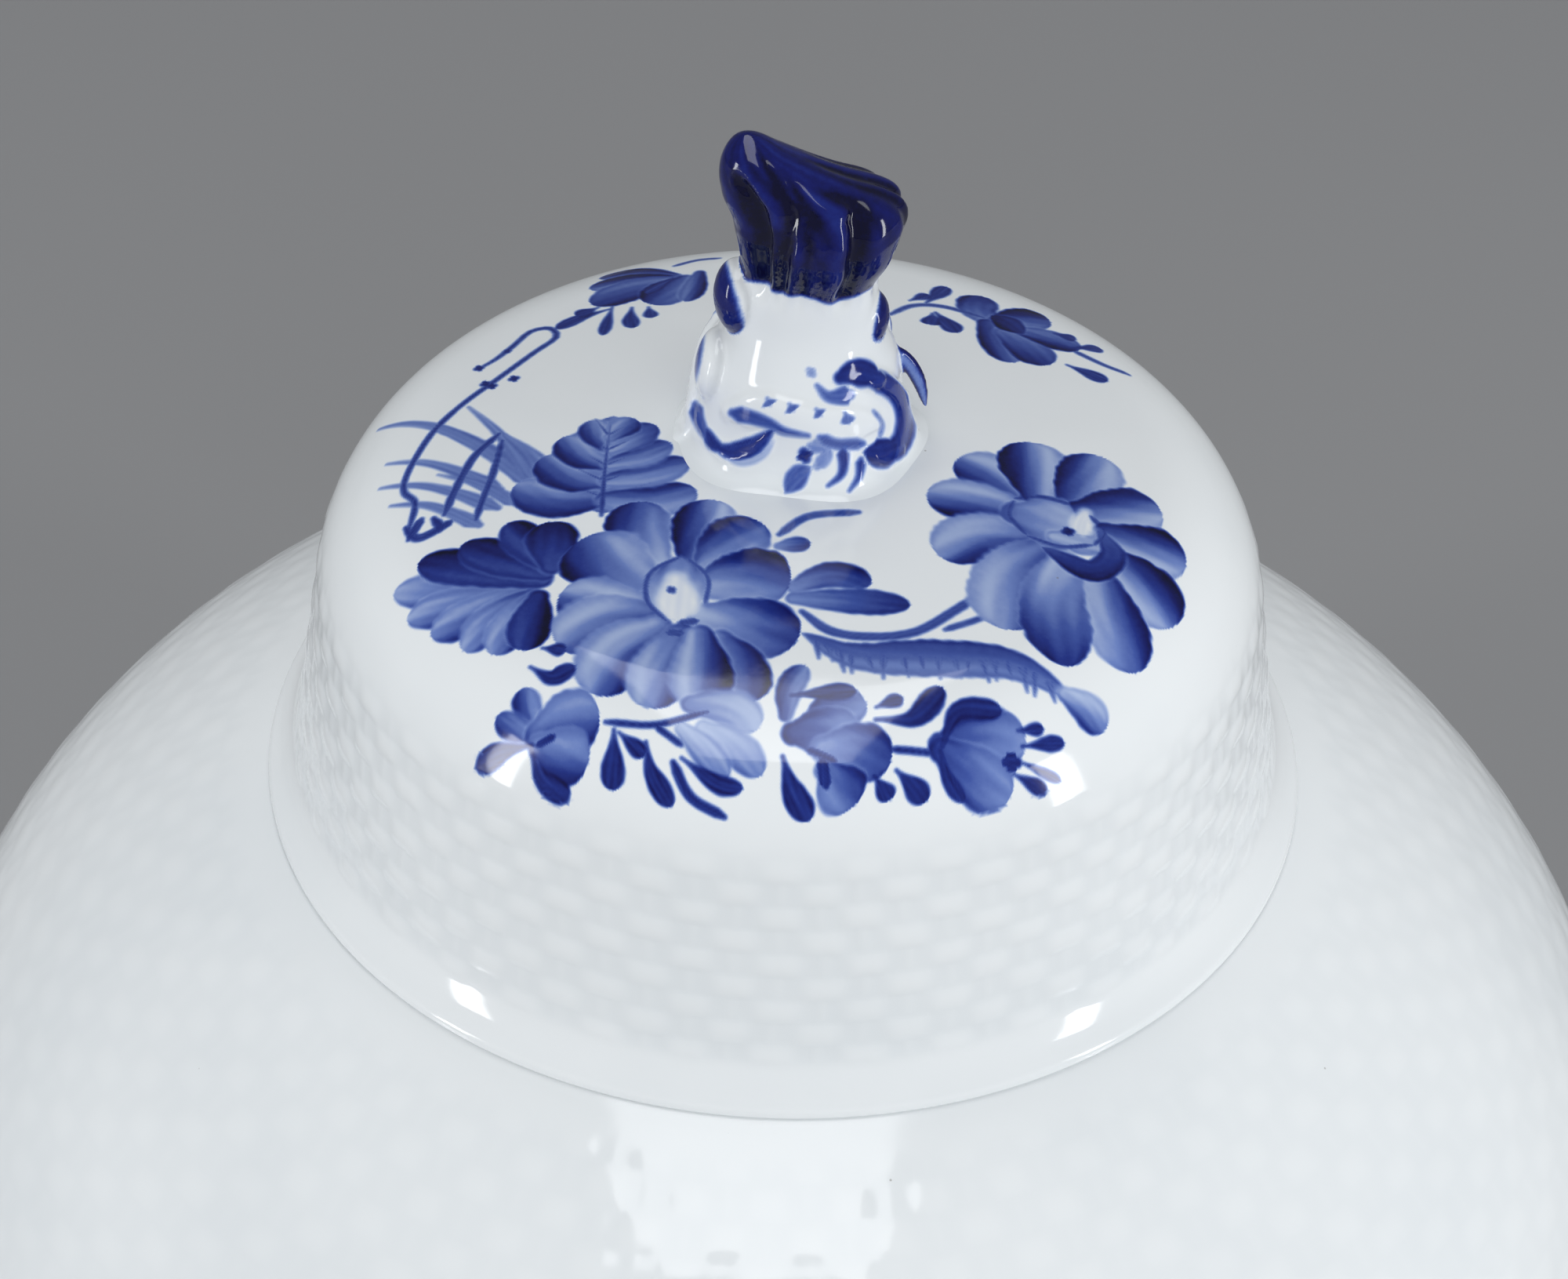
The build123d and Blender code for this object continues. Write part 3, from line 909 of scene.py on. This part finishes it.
def makeLid(look, tree):
    outline, inner = lidOutline(look), lidOutline(look, look["thickness"])
    pieces, first = [], 0
    for name, last in look["bands"]:
        pieces.append(paintedBand(name, look, outline, inner, first, last))
        first = last
    weaveStart = first * look["paintStep"]
    weaveEnd = weaveStart + look["rows"] * look["rowHeight"]
    wall = resample(outline, 0, along(outline)[-1] - look["fillet"] * 0.5, 0.2)
    flange = roundedLine(
        [wall[-1], look["wallFoot"], (rimRadius, look["flangeEdge"]), (rimRadius, 0), (rimRadius - 2, 0)],
        [look["fillet"], 0.8, 0.35],
    )
    outer = np.vstack([wall, flange[1:]])
    outside = wovenSection(outer, weaveStart, look)
    plain = resample(outer, weaveEnd, along(outer)[-1], look["rimStep"])[1:]
    plain = np.column_stack([plain, np.full(len(plain), look["rows"]), np.zeros(len(plain))])
    outside = np.vstack([outside, plain])
    outside[:, 1] += seatHeight
    innerStart = weaveStart * along(inner)[-1] / along(outline)[-1]
    innerWall = resample(inner, innerStart, along(inner)[-1] - 8, 2.0)[::-1]
    under = roundedLine(
        [(rimRadius - 2.4, 0), (look["ringOutside"], 0), (look["ringOutside"], -look["ringDepth"]),
         (look["ringInside"], -look["ringDepth"]), (look["ringInside"], 1.5), innerWall[0]],
        [0.5, 1.0, 1.0, 4.0],
    )
    after = np.vstack([under, innerWall[1:]]) + (0, seatHeight)
    pieces.append(wovenBand("lidWall", tree, look, [], outside, after, 3, outline))
    return pieces


bowlLook = {
    "bellyHeight": 83.7,
    "upperRise": 82.0,  # half-height of the upper ellipse
    "lowerDrop": 87.46,
    "thickness": 5.5,
    "mouth": 58.0,
    "seatEdge": 67.4,
    "footOutside": 61.0,
    "footInside": 54.5,
    "bareSeat": (58.6, 66.4),  # inner and outer radius of the bare clay where lid and seat meet
    "footHeight": 8.0,
    "footRecess": 5.0,
    "floorTop": 12.0,
    "stakes": 100,
    "columnSteps": 8,
    "rowHeight": 4.6,
    "rowSteps": 6,
    "bands": [("bowlShoulder", 14), ("bowlBelly", 14), ("bowlBase", 12)],  # piece and its rows of weave
    "plainAbove": 0.35,  # share of the unwoven height that lies above the weave; the rest is below it
    "lipPoint": 8,  # the point of the outline where the seat's rounded edge runs in to it
    "fadeIn": 1.0,
    "fadeOut": 0.6,
    "weave": {
        "Relief": 0.08 * mm, "Strand Width": 0.70, "Stake Height": 0.35, "Unevenness": 0.8, "Pool And Shade": 0.22,
    },
}


def bowlOutline(look, inset=0.0):
    # from the seat's outer edge down to the foot, or the same drawn inset from it
    radii = np.array([bellyRadius - inset, look["upperRise"] - inset])
    lower = np.array([bellyRadius - inset, look["lowerDrop"] - inset])
    middle = (0, look["bellyHeight"])
    top = math.degrees(math.acos(look["seatEdge"] / bellyRadius))
    bottom = -math.degrees(math.acos(look["footOutside"] / bellyRadius))
    upperArc = arcPoints(middle, radii, top, 0, 400)
    lowerArc = arcPoints(middle, lower, 0, bottom, 400)
    return np.vstack([upperArc, lowerArc[1:]])


def makeBowl(look, tree):
    outline, inner = bowlOutline(look), bowlOutline(look, look["thickness"])
    reach, innerReach = along(outline), along(inner)
    rowHeight, rowTotal = look["rowHeight"], sum(rows for name, rows in look["bands"])
    start = (reach[-1] - rowTotal * rowHeight) * look["plainAbove"]
    lip, rim = outline[look["lipPoint"]], (look["mouth"] + 2, seatHeight)
    pieces, row = [], 0
    for name, rows in look["bands"]:
        first, last = row == 0, row + rows == rowTotal
        top, bottom = start + row * rowHeight, start + (row + rows) * rowHeight
        section = resample(outline, top, bottom, rowHeight / look["rowSteps"])
        number = row + np.linspace(0, rows, len(section))
        depth = smooth(0, look["fadeIn"], number) * smooth(rowTotal, rowTotal - look["fadeOut"], number)
        outside = np.column_stack([section, number, depth])
        innerTop, innerBottom = np.interp([top, bottom], reach, innerReach)
        if first:
            seat = roundedLine([rim, (look["seatEdge"], seatHeight), lip], [0.5])
            lead = np.vstack([seat[1:-1], resample(outline, reach[look["lipPoint"]], top, 0.7)[:-1]])
            outside = np.vstack([np.column_stack([lead, np.zeros(len(lead)), np.zeros(len(lead))]), outside])
            inside = resample(inner, 2.0, innerBottom, 4.0)[::-1]
            mouth = roundedLine(
                [inside[-1], (look["mouth"], seatHeight - 5.5), (look["mouth"], seatHeight), rim], [2.5, 1.0]
            )
            pieces.append(wovenBand(name, tree, look, [], outside, np.vstack([inside[:-1], mouth[:-1]]), 11))
        elif last:
            floorEdge = np.flatnonzero(inner[:, 1] > look["floorTop"])[-1]
            side = resample(inner, innerTop, innerReach[floorEdge] - 3, 4.0)[::-1]
            floorTop, recess = look["floorTop"], look["footRecess"]
            floor = roundedLine([(0, floorTop), (inner[floorEdge][0], floorTop), side[0]], [6.0])
            foot = roundedLine(
                [outline[-1], (look["footOutside"], 0), (look["footInside"], 0), (look["footInside"], recess),
                 (0, recess)],
                [1.2, 1.2, 1.0],
            )
            rest = resample(outline, bottom, reach[-1], 0.8)[1:]
            plain = np.column_stack([rest, np.full(len(rest), row + rows), np.zeros(len(rest))])
            outside = np.vstack([outside, plain])
            before = np.vstack([floor, side[1:]])
            pieces.append(wovenBand(name, tree, look, before, outside, foot[1:], 13))
        else:
            inside = resample(inner, innerTop, innerBottom, 4.0)[::-1]
            pieces.append(wovenBand(name, tree, look, [], outside, inside, 12))
        row += rows
    return pieces


knobLook = {
    "spine": [  # height above the seat, middle across, half width, half depth, middle front to back
        (49.5, 0.6, 16.9, 16.3, 1.2), (50.2, 0.6, 15.6, 14.8, 1.2), (51, 0.6, 14.3, 13.7, 1.2),
        (53, 0.6, 13.4, 12.8, 1.2), (57, 0.5, 12.8, 12.4, 1.2), (60.6, 0.4, 12.2, 12.1, 1.2),
        (62.6, 0.4, 11.7, 11.5, 1.1), (64.6, 0.5, 10.8, 10.3, 0.9), (68, 0.7, 9.3, 8.4, 0.4),
        (71, 0.9, 8.6, 7.6, 0.1), (75, 1.2, 8.3, 7.3, -0.3), (78.8, 1.9, 9.4, 8.0, -0.9),
        (81.5, 2.0, 10.0, 8.2, -1.1), (83.8, 2.1, 10.6, 7.8, -1.1), (86, 1.3, 10.8, 7.0, -1.1),
        (87.5, 0.1, 9.9, 6.3, -1.2), (88.8, -2.1, 7.9, 5.5, -1.2), (90.4, -4.1, 5.8, 4.4, -1.1),
        (92, -5.7, 3.7, 3.2, -1.0), (93.4, -6.5, 1.9, 1.7, -0.7), (94.2, -6.8, 0.0, 0.0, -0.5),
    ],
    "rings": 250,
    "around": 400,
    # Heights, the angles that a groove takes there, its depth and width; a negative depth is a ridge.
    "folds": [
        ([76, 80, 84, 87, 89.5], [-135, -136, -133, -130, -127], 0.22, 11),
        ([76, 79, 82, 85, 87, 89, 90.5], [-127, -127, -123, -118, -112, -108, -112], -0.06, 6),
        ([76, 78.5, 82, 85, 88, 90, 92], [-117, -117, -115, -110, -97, -84, -72], 0.13, 6),
        ([76, 80, 85, 88, 90], [-99, -99, -97, -83, -66], 0.08, 4.6),
        ([76, 80, 84, 87], [-87, -87, -86, -83], 0.035, 5),
        ([76, 80, 84, 86.2, 88.4, 91], [-75, -75, -77, -77, -67, -46], -0.04, 7),
        ([76, 80, 84, 86.3, 88], [-62, -62, -64, -60, -44], 0.17, 8),
        ([75, 80, 84, 88], [-14, -12, -10, -16], 0.07, 9),
        ([75, 84, 90], [22, 14, 2], 0.13, 7),
        ([75, 84, 90], [50, 43, 30], 0.09, 5),
        ([75, 84, 90], [74, 66, 54], 0.16, 8),
        ([75, 84, 90], [99, 92, 80], 0.08, 5),
        ([75, 84, 90], [121, 114, 104], 0.15, 7),
        ([75, 84, 90], [148, 142, 132], 0.11, 6),
    ],
    "blueFrom": 75.6,  # the bud is blue down to here, give or take its drips
    "lobes": [  # middle, half sizes, lean, share of blue, side that is blue, how far round the blue ends
        ((-7.4, -1.0, 71.6), (3.0, 4.0, 4.9), -4, 0.84, (-1, -0.25, -0.3), 0.12),
        ((-10.2, -1.0, 61.6), (2.3, 4.6, 4.6), 8, 0.60, (-1, 0, 0.1), 0.82),
        ((8.6, -0.4, 68.7), (2.3, 3.4, 3.5), 7, 0.86, (1, 0, -0.1), 0.15),
        ((2.5, 8.6, 71.0), (3.4, 2.2, 4.8), 0, 0.86, (0, 1, 0), -0.1),
        ((-5.2, 10.8, 60.4), (4.2, 2.2, 4.2), 0, 0.78, (0, 1, 0), 0.5),
        ((8.6, 8.0, 60.8), (3.0, 3.0, 4.6), 4, 0.70, (0.7, 0.7, 0), 0.5),
    ],
    "leaves": [  # one by the right of the foot, one behind it
        [(10.2, 2.4, 62.8), (12.9, 3.0, 60.8), (15.0, 3.2, 57.2), (16.2, 3.2, 52.8)],
        [(-3.6, 10.6, 63.0), (-5.8, 12.6, 60.2), (-7.0, 13.8, 56.6), (-7.4, 14.2, 52.6)],
    ],
    "voxel": 0.28,
    "softening": 12,
    # How much wider the foot's strokes are painted than they are drawn.
    "brush": {"line": 1.15, "leaf": 1.35, "petal": 1.1, "taper": 1.45, "drop": 1.6},
    "easelTilt": 39.5,  # the foot is painted from this far above the front, and again from behind
}

# Painted scrolls on the knob's foot, seen square on from the tilted easel: points, half width, kind,
# blue and how far raised. Without a blue, a scroll is raised and left white.
knobStrokes = [
    ([(-7.8, 2.2), (-4, 2.3), (0, 1.3), (4, 1.0), (9.2, 1.6)], 1.7, "line", None, 0.75),
    ([(8.2, 6.4), (10.3, 6.2), (12.3, 5), (13.4, 3.2), (13.5, 1), (12.6, -1.2), (10.8, -2.2), (9.4, -2.3)],
     1.1, "line", 0.78, 1.0),
    ([(5.2, 6.3), (6.8, 7.0), (9.8, 7.0)], 1.35, "petal", 0.86, 0.5),
    ([(12.6, -0.8), (10.4, -2.2), (8.4, -2.2)], 1.3, "leaf", 0.90, 0.5),
    ([(6.4, 4.4), (3.9, 4), (2.4, 5.2)], 0.85, "taper", 0.55, 0.0),
    ([(1.4, 7), (1.9, 6.5)], 0.4, "line", 0.34, 0.0),
    ([(-3.5, 3.5), (-3.1, 2.7)], 0.48, "drop", 0.52, 0.0),
    ([(-0.8, 2.9), (-0.3, 2.1)], 0.5, "drop", 0.54, 0.0),
    ([(2.4, 2.4), (3.0, 1.7)], 0.44, "drop", 0.54, 0.0),
    ([(5.9, 2.2), (6.4, 1.0)], 0.5, "drop", 0.50, 0.0),
    ([(-7.7, 1.9), (-4.9, 1.2), (-2.9, 0.5), (-1.2, -0.3), (1.6, -0.7)], 0.62, "taper", 0.66, 0.0),
    ([(9.4, 2.7), (10.5, 1.4), (10.3, -0.1)], 0.16, "line", 0.5, 0.0),
    ([(-12.4, 3.2), (-11.7, 0.9), (-10.4, -1.2), (-8.6, -2.3)], 0.62, "taper", 0.62, 0.3),
    ([(-11.0, 0.4), (-10.0, -1.6), (-8.2, -2.6)], 0.52, "leaf", 0.80, 0.3),
    ([(-10.0, -1.9), (-7.6, -2.6), (-5.0, -2.0), (-2.6, -0.1)], 0.86, "leaf", 0.78, 0.9),
    ([(-8.8, -3.0), (-6.3, -3.6), (-4.0, -2.8), (-2.6, -1.4)], 0.55, "leaf", 0.22, 0.6),
    ([(3, -0.9), (5.2, -1.5), (8.2, -1.2)], 0.5, "line", 0.60, 0.2),
    ([(1.9, -1.9), (3.4, -2), (3.8, -3), (2.8, -4.1)], 0.62, "line", 0.36, 0.4),
    ([(1.1, -2.6), (1.4, -3.3)], 0.8, "line", 0.95, 0.3),
    ([(2, -4.3), (0.6, -5.3), (-0.9, -7.4)], 0.95, "leaf", 0.54, 0.4),
    ([(5.8, -2.1), (6, -3.9), (5.6, -5.2), (4.2, -6.4)], 0.52, "taper", 0.78, 0.3),
    ([(8.1, -3.1), (7.9, -5.1), (6.8, -6.9)], 0.42, "taper", 0.72, 0.3),
]


def easel(points, look, behind):
    # places on the foot as the painter sees them: across, and up the tilted easel
    tilt = math.radians(look["easelTilt"])
    turn = -1 if behind else 1
    across = points[:, 0] * turn
    up = points[:, 1] * turn * math.sin(tilt) + (points[:, 2] - knobFoot) * math.cos(tilt)
    return across, up


def foldDepth(look, angle, height):
    # how far the bud's surface is folded in (+) or out (-) at an angle in degrees and a height above the seat
    depth = np.zeros(np.broadcast(angle, height).shape)
    for heights, angles, deep, width in look["folds"]:
        place = np.interp(height, heights, angles)
        off = (angle - place + 180) % 360 - 180
        strength = smooth(heights[0] - 3.5, heights[0] + 1, height)
        strength = strength * smooth(heights[-1] + 1.8, heights[-1] - 0.6, height)
        depth = depth + deep * np.exp(-((off / width) ** 2)) * strength
    return depth


def budShell(look):
    spine = softLine(look["spine"], look["rings"] + 1)
    spine[-1, 2:4] = 0
    degrees = np.arange(look["around"]) / look["around"] * 360 - 180
    turn = np.radians(degrees)
    mesh = RingMesh()
    blue = []
    height, middle, wide, deep, back = spine.T
    mesh.ring(0, height[0], 1)
    blue.append([0])
    for h, m, w, d, b in zip(height, middle, wide, deep, back):
        fold = foldDepth(look, degrees, h)
        lobed = 1 + 0.035 * np.sin(turn * 5 + 0.6) * smooth(56, 50, h)
        lobed = lobed + 0.02 * np.sin(turn * 3 + h * 0.2) * smooth(70, 62, h)
        size = (1 - fold) * lobed
        count = look["around"] if w > 0.02 else 1
        x, y = m + w * size * np.cos(turn), b + d * size * np.sin(turn)
        mesh.loop(np.stack([x, y, np.full(len(x), h)], axis=1)[:count])
        drip = 0.5 * np.sin(turn * 3 + 1.2) + 0.3 * np.sin(turn * 7 + 0.5)
        # the blue is laid deeper in the grooves as painted shade, and paler on the ridges as painted light
        shade = 0.88 + 1.6 * np.clip(fold, -0.08, 0.12) + 0.07 * ripple(turn * 5, h * 0.22, 2.0)
        cover = smooth(-0.35, 0.35, h - look["blueFrom"] - drip)
        blue.append((np.clip(shade, 0.64, 1) * cover)[:count])
    points, triangles = mesh.arrays()
    points[:, 2] += seatHeight
    return points, triangles, np.concatenate(blue)


def lobeShell(middle, sizes, lean, blue, side, edge):
    mesh = RingMesh()
    steps = 40
    for step in range(steps + 1):
        angle = math.pi * step / steps
        ends = step in (0, steps)
        mesh.ring(0 if ends else math.sin(angle), -math.cos(angle), 1 if ends else 60)
    points, triangles = mesh.arrays()
    toward = points @ (np.array(side) / np.linalg.norm(side))
    shade = blue * smooth(edge - 0.12, edge + 0.12, toward)
    points = points * sizes
    tip = math.radians(lean)
    x = points[:, 0] * math.cos(tip) + points[:, 2] * math.sin(tip)
    z = points[:, 2] * math.cos(tip) - points[:, 0] * math.sin(tip)
    points = np.stack([x, points[:, 1], z], axis=1) + (*middle[:2], middle[2] + seatHeight)
    return points, triangles, shade


def leafShell(path, wide=1.05, thick=0.8):
    # a pinched leaf along a path, dark along its outer edge
    line = softLine(path, 40)
    mesh = RingMesh()
    mesh.loop(line[:1])
    blue = [[0.6]]
    turn = np.arange(40) / 40 * 2 * np.pi
    for index in range(1, 39):
        way = line[index + 1] - line[index - 1]
        way = way / np.linalg.norm(way)
        across = np.cross(way, (0, 1, 0))
        across = across / np.linalg.norm(across)
        size = math.sin(math.pi * index / 39) ** 0.6
        ring = line[index] + across * (np.cos(turn) * wide * size)[:, None]
        mesh.loop(ring + np.array((0, 1, 0)) * (np.sin(turn) * thick * size)[:, None])
        blue.append(0.34 + 0.56 * smooth(0.35, 0.75, abs(np.cos(turn) - 0.1)))
    mesh.loop(line[-1:])
    blue.append([0.8])
    points, triangles = mesh.arrays()
    points[:, 2] += seatHeight
    return points, triangles, np.concatenate(blue)


def raiseScrolls(points, look):
    # raises the painted scrolls on the foot, before the parts are melted together
    for behind in (False, True):
        across, up = easel(points, look, behind)
        front = points[:, 1] * (-1 if behind else 1) < 1.5
        outward = points[:, :2] / np.maximum(np.hypot(*points[:, :2].T), 1e-6)[:, None]
        for line, width, kind, blue, lift in knobStrokes:
            if lift:
                canvas = Painting(across, up)
                near, mask = canvas.stroke(line, width + 0.25, kind=kind, soft=1.1)
                if len(near):
                    points[near, :2] += outward[near] * (mask * lift * front[near] * 0.8)[:, None]
    return points


def meltTogether(name, shells, look):
    # joins the modelled parts into one skin, as soft as clay under glaze
    points = np.concatenate([shell[0] for shell in shells])
    starts = np.cumsum([0] + [len(shell[0]) for shell in shells[:-1]])
    triangles = np.concatenate([shell[1] + start for shell, start in zip(shells, starts)])
    blue = np.concatenate([shell[2] for shell in shells])
    rough = makeMesh(name, points, triangles)
    melt = rough.modifiers.new("melt", "REMESH")
    melt.mode, melt.voxel_size = "VOXEL", look["voxel"] * mm
    soften = rough.modifiers.new("soften", "SMOOTH")
    soften.factor, soften.iterations = 0.5, look["softening"]
    skin = bpy.data.meshes.new_from_object(rough.evaluated_get(bpy.context.evaluated_depsgraph_get()))
    rough.modifiers.clear()
    rough.data = skin
    skin.name = name
    tree = KDTree(len(points))
    for index, point in enumerate(points * mm):
        tree.insert(point, index)
    tree.balance()
    places = np.empty(len(skin.vertices) * 3, dtype=np.float32)
    skin.vertices.foreach_get("co", places)
    places = places.reshape(-1, 3)
    near = np.array([[found[1] for found in tree.find_n(place, 5)] for place in places])
    normals = np.empty(len(skin.vertices) * 3, dtype=np.float32)
    skin.vertex_normals.foreach_get("vector", normals)
    skin.shade_smooth()
    return rough, places / mm, normals.reshape(-1, 3), blue[near].mean(axis=1)


def makeKnob(look):
    body = budShell(look)
    shells = [(raiseScrolls(body[0], look), body[1], body[2])]
    shells += [lobeShell(*lobe) for lobe in look["lobes"]]
    shells += [leafShell(path) for path in look["leaves"]]
    piece, points, normals, blue = meltTogether("knobBud", shells, look)
    for behind in (False, True):
        across, up = easel(points, look, behind)
        facing = smooth(0.05, 0.3, normals[:, 1] * (1 if behind else -1) + 0.35 * normals[:, 2])
        canvas = Painting(across, up)
        for line, width, kind, shade, lift in knobStrokes:
            if shade:
                tone = (shade * 0.78, min(shade, 0.8))
                canvas.stroke(line, width * look["brush"][kind], kind=kind, tone=tone, over=False, soft=0.9)
        facing = facing * (smooth(5, 8, points[:, 1]) if behind else smooth(4.5, 1.5, points[:, 1]))
        low = smooth(26, 20, points[:, 2] - knobFoot)
        blue = np.maximum(blue, canvas.blue * facing * low)
    lifted = points[:, 2] - knobFoot
    # darker at the knob's foot and a little over its lower part: pooled glaze, and painted shade where knob
    # and lid meet
    pool = 0.45 * np.exp(-((lifted / 2.2) ** 2)) + 0.2 * smooth(26, 20, lifted)
    keepLayers(piece.data, {"cobalt": np.clip(blue, 0, 1), "pool": pool, "bare": np.zeros(len(points))})
    print(f"  knob: {len(points)} points, {len(piece.data.polygons)} faces")
    return piece


# floor, lights and camera

stageLook = {
    "floor": (0.30, 0.30, 0.305),
    "world": 0.16,
    "softboxes": [  # name, place, the point it faces, width, depth, power
        ("overhead", (-0.03, 0.0, 1.30), (-0.03, 0.0, 0), 0.58, 1.26, 6.6),
        ("left", (-1.05, -0.56, 0.40), (0, 0, 0.34), 0.15, 0.64, 3.2),
        ("right", (1.05, -0.56, 0.40), (0, 0, 0.34), 0.15, 0.64, 3.2),
        ("fill", (0.4, -2.1, 0.60), (0, 0, 0.18), 3.0, 1.2, 19.0),
        ("fillLeft", (-2.0, -0.5, 0.45), (0, 0, 0.18), 1.6, 0.9, 13.0),
        ("fillRight", (2.0, -0.5, 0.45), (0, 0, 0.18), 1.6, 0.9, 16.0),
        ("fillBack", (0.0, 2.1, 0.40), (0, 0, 0.15), 2.6, 0.9, 8.0),
    ],
    "lens": 81.0,
    "distance": 469.6 * mm,
    "elevation": 39.46,
    "roll": 1.96,
    "aim": (-0.5, 8.6, 162.5),  # millimetres; the point in the middle of the view
}


def makeStage(look):
    corners = [(-4, -4, 0), (4, -4, 0), (4, 4, 0), (-4, 4, 0)]
    sheet = bpy.data.meshes.new("floor")
    sheet.from_pydata(corners, [], [(0, 1, 2, 3)])
    floor = bpy.data.objects.new("floor", sheet)
    bpy.context.scene.collection.objects.link(floor)
    paper = Material("studioPaper")
    tint = paper.noise(3.0, 3.0).spread(0.3, 0.7)
    lighter = [channel * 1.15 for channel in look["floor"]]
    paper.set(Base_Color=paper.mix(tint * 0.12, (*look["floor"], 1), (*lighter, 1)), Roughness=0.9)
    sheet.materials.append(paper.material)
    world = bpy.data.worlds.new("studio")
    world.use_nodes = True
    world.node_tree.nodes["Background"].inputs[0].default_value = (0.93, 0.96, 1.0, 1)
    world.node_tree.nodes["Background"].inputs[1].default_value = look["world"]
    bpy.context.scene.world = world
    for name, place, target, width, depth, power in look["softboxes"]:
        lamp = bpy.data.lights.new(name, "AREA")
        lamp.shape, lamp.size, lamp.size_y, lamp.energy = "RECTANGLE", width, depth, power
        lamp.color = (0.97, 0.985, 1.0)
        box = bpy.data.objects.new(name, lamp)
        box.location = place
        box.visible_glossy = not name.startswith("fill")  # the fills light the glaze without showing in it
        box.rotation_euler = (Vector(target) - Vector(place)).to_track_quat("-Z", "Y").to_euler()
        bpy.context.scene.collection.objects.link(box)


def makeCamera(look):
    tilt, roll = math.radians(look["elevation"]), math.radians(look["roll"])
    ahead = Vector((0, math.cos(tilt), -math.sin(tilt)))
    right, up = Vector((1, 0, 0)), Vector((0, math.sin(tilt), math.cos(tilt)))
    rolledRight = right * math.cos(roll) + up * math.sin(roll)
    rolledUp = up * math.cos(roll) - right * math.sin(roll)
    camera = bpy.data.cameras.new("camera")
    camera.lens, camera.sensor_width = look["lens"], 36.0
    camera.clip_start, camera.clip_end = 0.01, 20.0
    holder = bpy.data.objects.new("camera", camera)
    turned = Matrix((rolledRight, rolledUp, -ahead)).transposed().to_4x4()
    turned.translation = Vector(look["aim"]) * mm - ahead * look["distance"]
    holder.matrix_world = turned
    bpy.context.scene.collection.objects.link(holder)
    bpy.context.scene.camera = holder


print("stage")
makeStage(stageLook)
makeCamera(stageLook)
porcelain = glazeMaterial("porcelain")
weaveNodes = weaveTree(porcelain)

print("lid")
lidPieces = makeLid(lidLook, weaveNodes)
for piece in lidPieces:
    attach(piece, "lid")
    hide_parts("lid")
for piece in lidPieces[:-1]:
    piece.data.materials.append(porcelain)

print("bowl")
for piece in makeBowl(bowlLook, weaveNodes):
    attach(piece, "bowl")
    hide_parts("bowl")

print("knob")
knob = makeKnob(knobLook)
knob.data.materials.append(porcelain)
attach(knob, "lid")
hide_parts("knob")

bpy.context.scene.view_settings.view_transform = "Standard"

print("finished")
